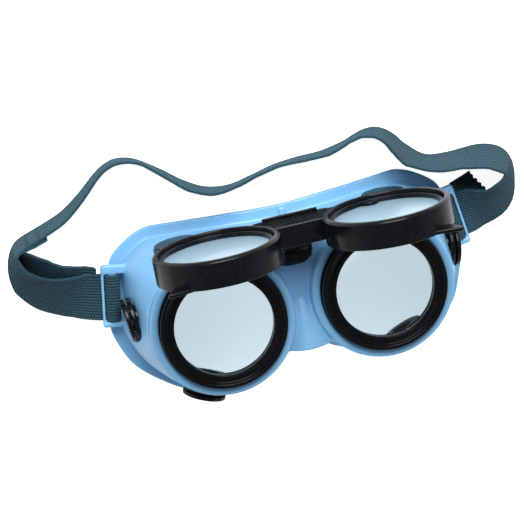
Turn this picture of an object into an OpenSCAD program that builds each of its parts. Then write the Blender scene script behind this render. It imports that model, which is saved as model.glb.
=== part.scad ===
/* [Lenses and screw rings] */
// Diameter of the round lenses
lens_d = 50; // [46:1:52]
// Distance between the two lens centres
lens_spacing = 78; // [76:1:84]
// Outer diameter of the screw rings on the mask
ring_d = 60; // [58:0.5:62]
// Clear opening inside each screw ring
window_d = 47; // [40:0.5:47]
// Thickness of the clear lenses
clear_t = 2.5; // [2:0.1:3]
// How far the screw rings stand out of their cups
ring_proud = 4; // [2:0.5:5]

/* [Mask] */
// Width of the mask over its rim
mask_w = 178; // [174:1:186]
// Height of the rim's top edge over the lens centres
rim_top = 45; // [43:0.5:50]
// Depth of the rim's lowest edge under the lens centres
rim_low = 41.5; // [40:0.5:46]
// Height of the front wall over the rim's back face
front_h = 38; // [34:1:42]
// Wall thickness of the soft shell
wall = 2.4; // [1.8:0.1:3]
// Width of the flange round the rim
flange_w = 6; // [5:0.5:7]
// Thickness of the flange
flange_t = 2.6; // [2:0.2:4]
// How far the forehead edge stands clear of a flat surface
brow_rise = 12; // [6:1:14]
// How far the nose arch stands clear of a flat surface
nose_rise = 24; // [16:1:26]
// Width of the soft cup wall round each screw ring
cup_wall = 4.3; // [3.5:0.1:5]

/* [Flip-up frame] */
// Outer diameter of the flip-up rings
flip_d = 57.8; // [57:0.2:60]
// Depth of the flip-up rings
flip_depth = 12.5; // [11:0.5:14]
// Thickness of the dark lenses
dark_t = 3; // [2:0.1:3.5]
// Gap between the closed flip-up rings and the screw rings
closed_gap = 1; // [0.6:0.1:2]
// Height of the hinge axis over the lens centres
hinge_y = 34.1; // [33:0.1:37]
// Height of the hinge axis over the front wall
hinge_h = 9.9; // [9:0.1:12]
// Diameter of the hinge pin
pin_d = 2.4; // [2:0.1:3]
// Length of the knuckle on the flip-up frame
knuckle_w = 9; // [7:0.5:10]
// Thickness of each ear of the bracket
ear_t = 2.8; // [2:0.1:3.5]
// Length of the lift tabs
tab_len = 9; // [6:0.5:11]

/* [Vents] */
// Diameter of the vent discs
vent_d = 21; // [19:0.5:22]
// Gap between the two discs of a vent
vent_gap = 0.8; // [0.6:0.1:1.6]
// Thickness of each vent disc
disc_t = 2; // [1.6:0.1:2.6]

/* [Strap] */
// Width of the elastic strap
strap_w = 25; // [20:1:26]
// Thickness of the elastic strap
strap_t = 1.4; // [1:0.1:1.8]
// Width of the flat bar in each strap lug
bar_w = 4; // [3.5:0.5:5]
// Thickness of the flat bar in each strap lug
bar_t = 2.6; // [2:0.1:3.2]

/* [Hidden] */
$fn = 96;

// Colours
pvc_blue = "#6ea3d8";
black_plastic = "#17181b";
gasket_black = "#2a2b2e";
clear_glass = "#c9e4ea";
dark_glass = "#8fa9b6";
steel = "#b8bcc0";
strap_blue = "#33505f";

// Small clearances
fit_gap = 0.3;
run_gap = 0.05;
thread_gap = 0.1;

// Cup and lens stack, heights over the rim's back face
half_w = mask_w / 2;
cup_x = lens_spacing / 2;
ring_r = ring_d / 2;
lens_r = lens_d / 2;
window_r = window_d / 2;
cup_mouth_r = ring_r + fit_gap;
cup_r = cup_mouth_r + cup_wall;
cup_h = 6;
cup_top = front_h + cup_h;
ring_top = cup_top + ring_proud;
lip_t = 3.5;
lip_z = ring_top - lip_t;
gasket_t = 1;
holder_top = lip_z - clear_t - gasket_t;
holder_r = lens_r + 1.2;
holder_bore_r = window_r - 0.3;
holder_flange_r = holder_r + 4;
holder_flange_t = 2;

// Flip-up frame, drawn closed and then turned open about the hinge
hinge_z = front_h + hinge_h;
flip_z = ring_top + closed_gap;
flip_r = flip_d / 2;
flip_top = flip_z + flip_depth;
flip_wall_r = lens_r + 1.1;
flip_window_r = lens_r - 1.2;
seat_z = flip_z + 5;
seat_t = 2;
flip_gasket_t = 0.6;
dark_z = seat_z + flip_gasket_t;
retainer_t = 2.2;
bridge_t = 10.5;
bridge_low = 11.5;
knuckle_r = pin_d / 2 + 2;
bridge_high = hinge_y - knuckle_r - 0.6;
open_angle = 90;

// Bracket
bracket_w = 19;
bracket_low = 19.5;
bracket_t = 3;
bracket_top_y = hinge_y + knuckle_r;
plate_z = front_h - wall;

// Vent stack along the outward normal of each seat
stem_r = 6;
stem_bore_r = 4.4;
vent_lip_r = 7.4;
boss_t = 3.5;
boss_wall = 1.5;
pocket_gap = 0.4;
post_r = 1;

// Strap lugs: a wide bar that the strap turns round and a thin keeper bar outside it
lug_x = half_w - 4.1;
lug_y = 16;
lug_z = 9.4;
lug_turn = 9;
keeper_w = 1.4;
upper_arm = 4.6;
lower_arm = 2.8;
squeezed_w = strap_w * 0.9;
lug_half = squeezed_w / 2 + 0.4;
keeper_u = bar_w / 2 + strap_t + 2 * fit_gap;

// Outline helpers
function mirrored(p) = concat(p, [for (i = [len(p) - 2:-1:1]) [-p[i][0], p[i][1]]]);
function wrap(p, i) = p[(i + len(p)) % len(p)];
function cubic(a, b, c, d, t) =
    0.5 * (2 * b + (c - a) * t + (2 * a - 5 * b + 4 * c - d) * t * t + (3 * b - a - 3 * c + d) * t * t * t);
function smooth_ring(p, n) =
    [for (i = [0:len(p) - 1]) for (k = [0:n - 1]) cubic(wrap(p, i - 1), p[i], wrap(p, i + 1), wrap(p, i + 2), k / n)];
function unit(v) = v / norm(v);
function side_step(p, i) = let (t = unit(wrap(p, i + 1) - wrap(p, i - 1))) [-t[1], t[0]];
// The outlines run clockwise, so a step to the right of travel goes inwards
function inset(p, d) = [for (i = [0:len(p) - 1]) p[i] - d * side_step(p, i)];

// Right half of the rim and of the front wall, from top centre to bottom centre
rim_half = [
    [0, rim_top - 1.5], [25, rim_top - 0.7], [48, rim_top - 0.2], [63, rim_top - 0.4],
    [half_w - 15.5, rim_top - 4.7], [half_w - 6.5, rim_top - 12.4], [half_w - 4.4, 22], [half_w - 3, 11],
    [half_w, 0], [half_w - 2.6, -11.5], [half_w - 7.6, -21.5], [half_w - 16, 11.5 - rim_low],
    [half_w - 30, 2 - rim_low], [44, -rim_low], [32, 2 - rim_low], [18, 9 - rim_low], [8, -26], [0, -23.5]
];
ledge = 0.7;
front_r = cup_r + ledge;
front_angles = [113, 92, 68, 46, 26, 10, -5, -20, -38, -55, -73, -92, -110, -128];
front_half = concat(
    [[0, front_r], [13, front_r]],
    [for (a = front_angles) [cup_x + front_r * cos(a), front_r * sin(a)]],
    [[10.5, -22.5], [0, -20.5]]
);
steps = 2;
rim_line = smooth_ring(mirrored(rim_half), steps);
front_line = smooth_ring(mirrored(front_half), steps);
shell_foot = inset(rim_line, flange_w);

// The face side is curved: it rests on its two ends and rises over brow and nose
rest_x = 62;
nose_w = 17;
function brow(x) = brow_rise * max(0, 1 - pow(x / rest_x, 2));
function nose(x) = (nose_rise - brow_rise) * exp(-pow(x / nose_w, 2));
function rise(p) = p[1] < 0 ? brow(p[0]) + nose(p[0]) : brow(p[0]);
function level(p, z) = let (r = rise(p)) [p[0], p[1], z <= flange_t ? r + z
    : r + flange_t + (front_h - flange_t - r) * (z - flange_t) / (front_h - flange_t)];
function ring_at(p, z) = [for (q = p) level(q, z)];
function flat_ring(p, z) = [for (q = p) [q[0], q[1], z]];

// Share of the way from the rim's foot to the front outline, and height, of each ring of the shell
shell_steps = [[0.1, 0.24], [0.34, 0.46], [0.66, 0.68], [0.92, 0.88]];
function shell_line(t) = [for (i = [0:len(rim_line) - 1]) shell_foot[i] * (1 - t) + front_line[i] * t];
function shell_z(h) = flange_t + (front_h - flange_t) * h;
outer_rings = concat(
    [ring_at(inset(shell_foot, wall + 0.8), 0), ring_at(rim_line, 0), ring_at(rim_line, flange_t)],
    [ring_at(shell_foot, flange_t + 0.2)],
    [for (s = shell_steps) ring_at(shell_line(s[0]), shell_z(s[1]))],
    [flat_ring(front_line, front_h)]
);
inner_rings = concat(
    [flat_ring(inset(shell_foot, wall), -5), ring_at(inset(shell_foot, wall), flange_t)],
    [for (s = shell_steps) ring_at(inset(shell_line(s[0]), wall), shell_z(s[1]) - wall * s[1])],
    [flat_ring(inset(front_line, wall), front_h - wall)]
);

// Rings of equal length joined to one closed skin, with a flat cap on each end
module skin(rings) {
    n = len(rings[0]);
    last = len(rings) - 1;
    points = [for (r = rings) each r];
    sides = [for (j = [0:last - 1]) for (i = [0:n - 1]) let (k = (i + 1) % n)
        each [[j * n + i, j * n + k, (j + 1) * n + k], [j * n + i, (j + 1) * n + k, (j + 1) * n + i]]];
    caps = [[for (i = [n - 1:-1:0]) i], [for (i = [0:n - 1]) last * n + i]];
    polyhedron(points, concat(sides, caps));
}

// Puts its children at the left and at the right
module both_sides() {
    children();
    mirror([1, 0, 0]) children();
}

// side is -1 for the left piece and 1 for the right one
module at_cup(side) {
    translate([side * cup_x, 0, 0]) children();
}

// Turns the closed flip-up frame open about the hinge pin
module opened() {
    translate([0, hinge_y, hinge_z]) rotate([-open_angle, 0, 0]) translate([0, -hinge_y, -hinge_z]) children();
}

// Seats of the right-hand vents: place, then turn, so that local Z points out of the wall
vent_seats = [
    ["side", [half_w - 12, 7, 22], [0, 90, -6]],
    ["top", [half_w - 38, rim_top - 9, 21], [-90, 0, -2]],
    ["low", [half_w - 37.8, 7 - rim_low, 20], [90, 0, 22]]
];

module at_vent(side, i) {
    seat = vent_seats[i];
    mirror([side < 0 ? 1 : 0, 0, 0]) translate(seat[1]) rotate([0, 0, seat[2][2]])
        rotate([seat[2][0], seat[2][1], 0]) children();
}

// Places its children in a lug: local X points outwards and local Y along the bar
module at_lug() {
    translate([lug_x, lug_y, lug_z]) rotate([0, 0, lug_turn]) children();
}

// Flat bar with round edges, over its centre and width
module lug_bar(u, w) {
    span = 2 * lug_half + 2;
    translate([u - w / 2 + bar_t / 2, -span / 2, -bar_t / 2]) cube([w - bar_t, span, bar_t]);
    for (x = [-1, 1]) translate([u + x * (w - bar_t) / 2, -span / 2, 0]) rotate([-90, 0, 0]) cylinder(d = bar_t, h = span);
}

module lug() {
    arm_in = 9.5;
    arm_out = keeper_u + keeper_w;
    at_lug() {
        lug_bar(0, bar_w);
        translate([keeper_u, -lug_half - 1, -bar_t / 2]) cube([keeper_w, 2 * lug_half + 2, bar_t]);
        for (a = [[lug_half, upper_arm], [-lug_half - lower_arm, lower_arm]])
            translate([-arm_in, a[0], -bar_t / 2 - 0.6]) cube([arm_in + arm_out, a[1], bar_t + 1.2]);
    }
}

// Soft cup wall round a screw ring
module cup_wall_ring() {
    edge = 1.4;
    rotate_extrude() polygon([
        [cup_mouth_r, front_h - wall / 2], [cup_r, front_h - wall / 2], [cup_r, cup_top - edge],
        [cup_r - edge * 0.4, cup_top - edge * 0.4], [cup_r - edge, cup_top], [cup_mouth_r, cup_top]
    ]);
}

// Nose hood between the cups: a round form that widens towards the lower edge
nose_top = 8.5;
nose_len = 30;
nose_r = 11.5;
nose_axis = front_h - 4.5;
function hood_line(r, from, to) = [for (i = [0:8]) let (t = from + (to - from) * i / 8) [r * pow(t, 0.6), nose_len * t]];

module hood_form(r, to) {
    line = hood_line(r, 0, to);
    translate([0, nose_top, nose_axis]) rotate([90, 0, 0]) rotate_extrude()
        polygon(concat(line, [[0, line[8][1]]]));
}

module above(z) {
    intersection() {
        children();
        translate([-40, -60, z]) cube([80, 100, 20]);
    }
}

// Space inside the shell, less the bosses that carry the vents
module shell_space() {
    difference() {
        skin(inner_rings);
        both_sides() for (i = [0:2]) at_vent(1, i)
            translate([0, 0, -boss_t]) cylinder(d = vent_d + 2 * pocket_gap + 2 * boss_wall, h = boss_t + 12);
    }
}

module mask_body() {
    color(pvc_blue) difference() {
        union() {
            difference() {
                skin(outer_rings);
                shell_space();
            }
            both_sides() {
                at_cup(1) cup_wall_ring();
                lug();
            }
            above(front_h - wall / 2) hood_form(nose_r, 1);
            // Moulded peg over the bridge
            translate([0.8, rim_top - 9.5, 26]) rotate([-90, 0, 0]) cylinder(r = 2.1, h = 9.3);
        }
        // Space under the nose hood
        above(plate_z - 0.5) hood_form(nose_r - wall, 0.87);
        both_sides() {
            at_cup(1) translate([0, 0, front_h - wall - 1]) cylinder(r = holder_r + 0.2, h = wall + 2);
            for (i = [0:2]) at_vent(1, i) {
                cylinder(d = vent_d + 2 * pocket_gap, h = 14);
                translate([0, 0, -boss_t - 4]) cylinder(r = stem_r + 0.1, h = boss_t + 5);
                translate([0, 0, -boss_t - 6]) cylinder(r = vent_lip_r + pocket_gap, h = 6);
            }
        }
        // Clearance for the two bracket screws
        for (x = [-1, 1]) translate([x * screw_x, screw_y, front_h - wall - 1]) cylinder(r = 1.3, h = wall + 2);
    }
}

module lens_holder(side) {
    color(black_plastic) at_cup(side) difference() {
        union() {
            translate([0, 0, plate_z - holder_flange_t]) cylinder(r = holder_flange_r, h = holder_flange_t);
            translate([0, 0, plate_z - holder_flange_t]) cylinder(r = holder_r, h = holder_top - plate_z + holder_flange_t);
        }
        translate([0, 0, plate_z - holder_flange_t - 1]) cylinder(r = holder_bore_r, h = 20);
    }
}

module lens_gasket(side) {
    color(gasket_black) at_cup(side) translate([0, 0, holder_top]) difference() {
        cylinder(r = lens_r + 0.2, h = gasket_t);
        translate([0, 0, -1]) cylinder(r = window_r + 0.1, h = gasket_t + 2);
    }
}

module clear_lens(side) {
    color(clear_glass, 0.4) at_cup(side) translate([0, 0, holder_top + gasket_t]) cylinder(r = lens_r, h = clear_t);
}

// Screw ring with an outer bead, a groove and an inner lip over the lens
module retaining_ring(side) {
    groove_r = ring_r - 2.6;
    inner_r = lens_r + 0.9;
    skirt_z = front_h + 0.2;
    color(black_plastic) at_cup(side) rotate_extrude() polygon([
        [holder_r + thread_gap, skirt_z], [ring_r, skirt_z], [ring_r, ring_top - 0.8], [ring_r - 0.8, ring_top],
        [groove_r + 0.7, ring_top], [groove_r, ring_top - 1.2], [inner_r, ring_top - 1.2],
        [inner_r - 0.5, ring_top - 0.5], [window_r + 0.5, ring_top - 0.5], [window_r, ring_top - 1],
        [window_r, lip_z], [lens_r + 0.3, lip_z], [lens_r + 0.3, holder_top + 0.3],
        [holder_r + thread_gap, holder_top + 0.3]
    ]);
}

ear_h = hinge_z - front_h;
screw_x = 5.6;
screw_y = 27.8;
ear_x = knuckle_w / 2 + 0.6;

module ear() {
    translate([ear_x, hinge_y, hinge_z]) rotate([0, 90, 0]) cylinder(r = knuckle_r, h = ear_t);
    translate([ear_x, hinge_y - knuckle_r + 0.4, front_h]) cube([ear_t, 2 * knuckle_r - 0.4, ear_h]);
}

module hinge_bracket() {
    round_r = 7;
    boss_h = hinge_z - front_h - 4.6;
    color(black_plastic) difference() {
        union() {
            // Base with a round lower end
            translate([-bracket_w / 2, bracket_low + round_r, front_h])
                cube([bracket_w, bracket_top_y - bracket_low - round_r, bracket_t]);
            for (x = [-1, 1]) translate([x * (bracket_w / 2 - round_r), bracket_low + round_r, front_h])
                cylinder(r = round_r, h = bracket_t);
            translate([round_r - bracket_w / 2, bracket_low, front_h]) cube([bracket_w - 2 * round_r, round_r, bracket_t]);
            // Raised block at the lower end
            translate([-bracket_w / 2 + 1.5, bracket_low + 1.5, front_h]) cube([bracket_w - 9, 4.5, boss_h]);
            // Stub beside the block
            translate([bracket_w / 2 - 6, bracket_low + 2.5, front_h]) cube([5, 3.2, boss_h - 2]);
            both_sides() ear();
        }
        translate([-20, hinge_y, hinge_z]) rotate([0, 90, 0]) cylinder(r = pin_d / 2 + run_gap, h = 40);
        for (x = [-1, 1]) translate([x * screw_x, screw_y, front_h - 1]) cylinder(r = 1.3, h = bracket_t + 2);
    }
}

module bracket_backing_plate() {
    plate_t = 1.2;
    color(steel) difference() {
        translate([-8.5, screw_y - 3.5, plate_z - plate_t]) cube([17, 7, plate_t]);
        for (x = [-1, 1]) translate([x * screw_x, screw_y, plate_z - plate_t - 1]) cylinder(r = 1.15, h = plate_t + 2);
    }
}

module bracket_screws() {
    color(steel) for (x = [-1, 1]) translate([x * screw_x, screw_y, 0]) {
        translate([0, 0, plate_z - 2]) cylinder(r = 1.1, h = front_h + bracket_t - plate_z + 2);
        difference() {
            translate([0, 0, front_h + bracket_t]) cylinder(r = 2.1, h = 1.4);
            translate([-3, -0.3, front_h + bracket_t + 0.7]) cube([6, 0.6, 2]);
        }
    }
}

module hinge_pin() {
    end_x = ear_x + ear_t;
    color(steel) translate([0, hinge_y, hinge_z]) rotate([0, 90, 0]) {
        translate([0, 0, -end_x]) cylinder(d = pin_d, h = 2 * end_x + 1.4);
        translate([0, 0, -end_x - 1]) cylinder(r = pin_d / 2 + 1, h = 1);
    }
}

module pin_cap() {
    color(steel) translate([ear_x + ear_t, hinge_y, hinge_z]) rotate([0, 90, 0]) difference() {
        cylinder(r = pin_d / 2 + 1.1, h = 1.2);
        translate([0, 0, -1]) cylinder(r = pin_d / 2 + 0.02, h = 4);
    }
}

module friction_washers() {
    washer_t = 0.5;
    color(gasket_black) both_sides() translate([ear_x - washer_t, hinge_y, hinge_z]) rotate([0, 90, 0]) difference() {
        cylinder(r = knuckle_r - 0.3, h = washer_t);
        translate([0, 0, -1]) cylinder(r = pin_d / 2 + run_gap, h = 3);
    }
}

module flip_ring_wall() {
    rotate_extrude() polygon([
        [flip_wall_r, flip_z], [flip_r - 0.4, flip_z], [flip_r, flip_z + 0.4], [flip_r, flip_top - 0.9],
        [flip_r - 0.9, flip_top], [flip_wall_r + 0.6, flip_top], [flip_wall_r, flip_top - 0.6],
        [flip_wall_r, seat_z], [flip_window_r, seat_z], [flip_window_r, seat_z - seat_t], [flip_wall_r, seat_z - seat_t]
    ]);
}

// Pointed ear low on the outer side of a flip-up ring
module lift_tab() {
    tab_t = 1.8;
    translate([cup_x, 0, flip_z]) rotate([0, 0, -45]) linear_extrude(tab_t)
        polygon([[flip_r - 1.5, -7], [flip_r + tab_len, -1.2], [flip_r + tab_len, 0.6], [flip_r - 1.5, 5]]);
}

module bridge_plate() {
    wing = 27;
    difference() {
        translate([0, 0, flip_z + 0.1]) linear_extrude(bridge_t) polygon([
            [-15, bridge_high], [15, bridge_high], [wing, 26], [20, bridge_low], [-20, bridge_low], [-wing, 26]
        ]);
        both_sides() at_cup(1) translate([0, 0, flip_z - 1]) cylinder(r = flip_wall_r + 1, h = bridge_t + 3);
        // Grooves across the front of the bridge
        for (i = [0:5])
            translate([-17, bridge_low + 3.2 + i * 3.4, flip_z + bridge_t - 0.5]) cube([34, 1, 1]);
    }
    // Raised lip along the hinge edge
    translate([-13, bridge_high - 1.4, flip_z + bridge_t - 0.5]) cube([26, 1.4, 1.8]);
}

module knuckle() {
    translate([-knuckle_w / 2, hinge_y, hinge_z]) rotate([0, 90, 0]) cylinder(r = knuckle_r, h = knuckle_w);
    translate([-knuckle_w / 2, bridge_high - 1, hinge_z - 1.4]) cube([knuckle_w, hinge_y - bridge_high + 1, 2.8 + 1.2]);
}

module flip_frame() {
    color(black_plastic) opened() difference() {
        union() {
            both_sides() {
                at_cup(1) flip_ring_wall();
                lift_tab();
            }
            bridge_plate();
            knuckle();
        }
        translate([-20, hinge_y, hinge_z]) rotate([0, 90, 0]) cylinder(r = pin_d / 2 + run_gap, h = 40);
    }
}

module dark_lens(side) {
    color(dark_glass, 0.6) opened() at_cup(side) translate([0, 0, dark_z]) cylinder(r = lens_r, h = dark_t);
}

module flip_gasket(side) {
    color(gasket_black) opened() at_cup(side) translate([0, 0, seat_z]) difference() {
        cylinder(r = lens_r + 0.4, h = flip_gasket_t);
        translate([0, 0, -1]) cylinder(r = flip_window_r + 0.2, h = 3);
    }
}

// Push-in ring that holds a dark lens, with one finger tab
module flip_retainer(side) {
    tab_angle = side > 0 ? 95 : 205;
    inner_r = lens_r - 0.9;
    color(black_plastic) opened() at_cup(side) translate([0, 0, dark_z + dark_t]) {
        difference() {
            cylinder(r = flip_wall_r - thread_gap, h = retainer_t);
            translate([0, 0, -1]) cylinder(r = inner_r, h = retainer_t + 2);
        }
        intersection() {
            rotate([0, 0, tab_angle]) translate([inner_r + 1, 0, 0]) cylinder(r = 4.4, h = retainer_t - 0.4);
            cylinder(r = flip_wall_r - thread_gap - 0.1, h = retainer_t);
        }
    }
}

module vent_base(side, i) {
    lip_h = 1.6;
    color(black_plastic) at_vent(side, i) difference() {
        union() {
            cylinder(d = vent_d, h = disc_t);
            translate([0, 0, -boss_t - lip_h - 0.3]) cylinder(r = stem_r, h = boss_t + lip_h + 0.5);
            translate([0, 0, -boss_t - lip_h - 0.3]) cylinder(r = vent_lip_r, h = lip_h);
        }
        translate([0, 0, -boss_t - 5]) cylinder(r = stem_bore_r, h = boss_t + 9);
    }
}

module vent_cap(side, i) {
    posts = 4;
    color(black_plastic) at_vent(side, i) {
        translate([0, 0, disc_t + vent_gap]) cylinder(d = vent_d, h = disc_t);
        for (k = [0:posts - 1]) rotate([0, 0, 45 + k * 360 / posts])
            translate([vent_d / 2 - 3.4, 0, disc_t]) cylinder(r = post_r, h = vent_gap + 0.2);
    }
}

// Strap, from the sewn left end round the left bar, along the floor and round the right bar to the cut end.
// Each row holds a point of the lower edge and the vector across a strap of 25 mm to the upper edge.
// The rows are drawn for a mask of 178 mm and move out with a wider one.
row_w = 25;
row_mask_w = 178;
floor_gap = 0.14;
lift = strap_t / 2 + floor_gap;
over = bar_t / 2 + fit_gap + strap_t / 2;
edge_u = bar_w / 2 - bar_t / 2;
// Rows in the lug as place across the bar and height over it: rear layer, turn, front layer.
// The strap lies flat there, so the lift of a lying strap is taken off again.
lug_rows = [
    [edge_u + 8.4, -4.9], [edge_u + 3.6, -over - 1.7], [edge_u + 1.2, -over - 1.1], [-edge_u, -over],
    [-edge_u - over * 0.71, -over * 0.71], [-edge_u - over, 0], [-edge_u - over * 0.71, over * 0.71], [-edge_u, over],
    [edge_u, over], [edge_u + over * 0.71, over * 0.71], [edge_u + over, 0], [edge_u + over + 0.2, -over * 0.62],
    [edge_u + over + 1.1, -over], [edge_u + over + 4, -over - 0.2]
];
function lug_row(side, q) = let (c = cos(lug_turn), n = sin(lug_turn), v = -squeezed_w / 2)
    [[side * (lug_x + q[0] * c - v * n), lug_y + q[0] * n + v * c, lug_z + q[1] - lift], [-side * n, c, 0] * row_w * 0.9];
function lug_turn_rows(side) = [for (q = lug_rows) lug_row(side, q)];
left_end = [
    [[-109.5, 54.5, 0], [0, -0.4, 25]], [[-116.1, 52.6, 0], [0.4, -0.6, 25]], [[-121.3, 49.8, 0], [0.5, 1, 25]],
    [[-125, 45.2, 0], [2.9, 5.5, 24.2]], [[-126, 39, 0], [7.4, 9.4, 22]], [[-124, 31, 0], [12.5, 12, 18]],
    [[-119.5, 25, 0], [14.2, 13.2, 15.8]], [[-113, 19, 0], [13, 17, 13]], [[-104.5, 13, 0], [10.2, 21, 9]],
    [[-97, 9.3, 2.4], [7, 22.3, 3.4]]
];
left_front = [
    [[-101, 7.6, 2.4], [6.3, 22.6, 6.5]], [[-105.2, 9.1, 0.4], [7.3, 21.3, 10.4]], [[-110.8, 11.3, 0], [8.8, 19.8, 12.5]],
    [[-121.1, 17.2, 0], [11.9, 15.3, 15.7]], [[-128.6, 26, 0], [16.3, 7.5, 17.4]], [[-130.2, 31.6, 0], [17.2, 2.5, 18]],
    [[-130.3, 37.5, 0], [13.9, -1.5, 20.7]], [[-129, 43.2, 0], [7.2, -2.7, 23.8]], [[-126.3, 48.3, 0], [1, 0, 25]]
];
back_run = [
    [[-122.1, 52, 0], [0.5, -0.7, 25]], [[-111, 55.9, 0], [0.1, -0.4, 25]], [[-99.9, 60.2, 0], [0, 0, 25]],
    [[-90, 66.8, 0], [-0.5, 0.7, 25]], [[-80.8, 74.5, 0], [-1, 1.4, 24.9]], [[-75.8, 77.7, 0], [-1.1, 2, 24.9]],
    [[-70.5, 79.4, 0], [-0.4, 2.2, 24.9]], [[-64.9, 78.9, 0], [0.5, 2.1, 24.9]], [[-59.4, 76.7, 0], [0.8, 1.6, 24.9]],
    [[-49.6, 69.9, 0], [0, 0.2, 25]], [[-40.3, 62.4, 0], [-0.3, -0.4, 25]], [[-30, 56.6, 0], [0.2, 0.8, 25]],
    [[-18.4, 54.9, 0], [-0.2, 3.5, 24.8]], [[-6.7, 57.1, 0], [-1, 4.2, 24.6]], [[5, 59.7, 0], [-0.6, 3.9, 24.7]],
    [[17, 60.8, 0], [-0.1, 2.6, 24.9]], [[28.9, 61.1, 0], [-0.2, 2.6, 24.9]], [[40.6, 63.4, 0], [-1.4, 4, 24.6]],
    [[46.2, 65.4, 0], [-1.2, 3.2, 24.8]], [[51.8, 66.9, 0], [-0.2, 0, 25]], [[57.4, 66.7, 0], [-1.6, -3.8, 24.6]],
    [[62.4, 64.2, 0], [-4.4, -5.6, 24]], [[66.6, 60.2, 0], [-6, -5.8, 23.6]], [[70.3, 55.5, 0], [-6.2, -5.5, 23.6]],
    [[79.1, 48.1, 0], [-1.8, -3.8, 24.6]], [[90.5, 46.6, 0], [0.1, -3.8, 24.7]], [[102.5, 47.1, 0], [-0.4, -7, 24]],
    [[108.4, 46.7, 0], [-1.9, -8.8, 23.3]], [[114, 45, 0], [-4.6, -9, 22.9]], [[118.6, 41.8, 0], [-7.6, -6.8, 22.8]]
];
right_front = [
    [[121.2, 37, 0], [-9.9, -3.1, 22.7]], [[122, 31.3, 0], [-13, 0, 21.4]], [[121.4, 25.3, 0], [-16.6, 3.2, 18.4]],
    [[120.2, 19.5, 0], [-17.2, 8, 16.3]], [[117.6, 14.5, 0], [-14.6, 12.6, 15.9]], [[113.5, 10.8, 0], [-10.5, 16.4, 15.7]],
    [[108.1, 8.5, 0], [-6.6, 18.9, 15]], [[102.3, 7.1, 0.6], [-4.2, 21, 12.2]], [[98, 6, 2.6], [-3.6, 22.8, 6.8]]
];
right_end = [[[98, 7.4, 1.6], [-5, 24.2, 0.8]], [[104, 10, 0], [-6, 24.3, 0]], [[114.3, 13.4, 0], [-15.3, 21.6, 0]]];
function reversed(v) = [for (i = [len(v) - 1:-1:0]) v[i]];
function beside(v) = [v[0] * mask_w / row_mask_w, v[1], v[2]];
function placed(rows) = [for (r = rows) [beside(r[0]), r[1]]];
strap_rows = concat(
    placed(left_end), lug_turn_rows(-1), placed(left_front), placed(back_run), placed(right_front),
    reversed(lug_turn_rows(1)), placed(right_end));

function row(i) = strap_rows[min(max(i, 0), len(strap_rows) - 1)];
strap_steps = 2;
strap_path = concat(
    [for (i = [0:len(strap_rows) - 2]) for (k = [0:strap_steps - 1]) let (t = k / strap_steps)
        [cubic(row(i - 1)[0], row(i)[0], row(i + 1)[0], row(i + 2)[0], t), row(i)[1] * (1 - t) + row(i + 1)[1] * t]],
    [row(len(strap_rows) - 1)]
);
function strap_spot(i) = strap_path[min(max(i, 0), len(strap_path) - 1)][0];
function strap_travel(i) = unit(strap_spot(i + 1) - strap_spot(i - 1));
// A leaning strap is lifted by the dip of its lower corner
function strap_section(i) = let (
    lean = strap_path[i][1],
    low = strap_path[i][0] + [0, 0, strap_t / 2 * norm([lean[0], lean[1]]) / norm(lean) + floor_gap],
    up = lean * strap_w / row_w,
    out = unit(cross(strap_travel(i), up)) * strap_t / 2
) [low - out, low + out, low + up + out, low + up - out];

module head_strap() {
    color(strap_blue) skin([for (i = [0:len(strap_path) - 1]) strap_section(i)]);
}

// Bars of thread that close the loop at the left
module strap_stitching() {
    color(strap_blue) for (p = [[-112.6, 54.5, 0], [-118.4, 52.4, 0]])
        translate(beside(p) + [0, 0, strap_w / 2 + 0.4])
        rotate([0, 0, 21]) cube([1, 3.7, strap_w - 4], center = true);
}

mask_body();
hinge_bracket();
bracket_backing_plate();
bracket_screws();
hinge_pin();
pin_cap();
friction_washers();
flip_frame();
head_strap();
strap_stitching();
lens_holder(-1);  // left_lens_holder
lens_holder(1);  // right_lens_holder
lens_gasket(-1);  // left_lens_gasket
lens_gasket(1);  // right_lens_gasket
clear_lens(-1);  // left_clear_lens
clear_lens(1);  // right_clear_lens
retaining_ring(-1);  // left_retaining_ring
retaining_ring(1);  // right_retaining_ring
dark_lens(-1);  // left_dark_lens
dark_lens(1);  // right_dark_lens
flip_gasket(-1);  // left_flip_gasket
flip_gasket(1);  // right_flip_gasket
flip_retainer(-1);  // left_flip_retainer
flip_retainer(1);  // right_flip_retainer
vent_base(-1, 0);  // left_side_vent_base
vent_cap(-1, 0);  // left_side_vent_cap
vent_base(1, 0);  // right_side_vent_base
vent_cap(1, 0);  // right_side_vent_cap
vent_base(-1, 1);  // left_top_vent_base
vent_cap(-1, 1);  // left_top_vent_cap
vent_base(1, 1);  // right_top_vent_base
vent_cap(1, 1);  // right_top_vent_cap
vent_base(-1, 2);  // left_low_vent_base
vent_cap(-1, 2);  // left_low_vent_cap
vent_base(1, 2);  // right_low_vent_base
vent_cap(1, 2);  // right_low_vent_cap
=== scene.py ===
"""Flip-up goggles lying on their back, with the tinted lenses flipped up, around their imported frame."""
import math

import bmesh
import bpy
from bpy.props import FloatProperty, FloatVectorProperty, IntProperty, PointerProperty
from mathutils import Matrix, Vector


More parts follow.
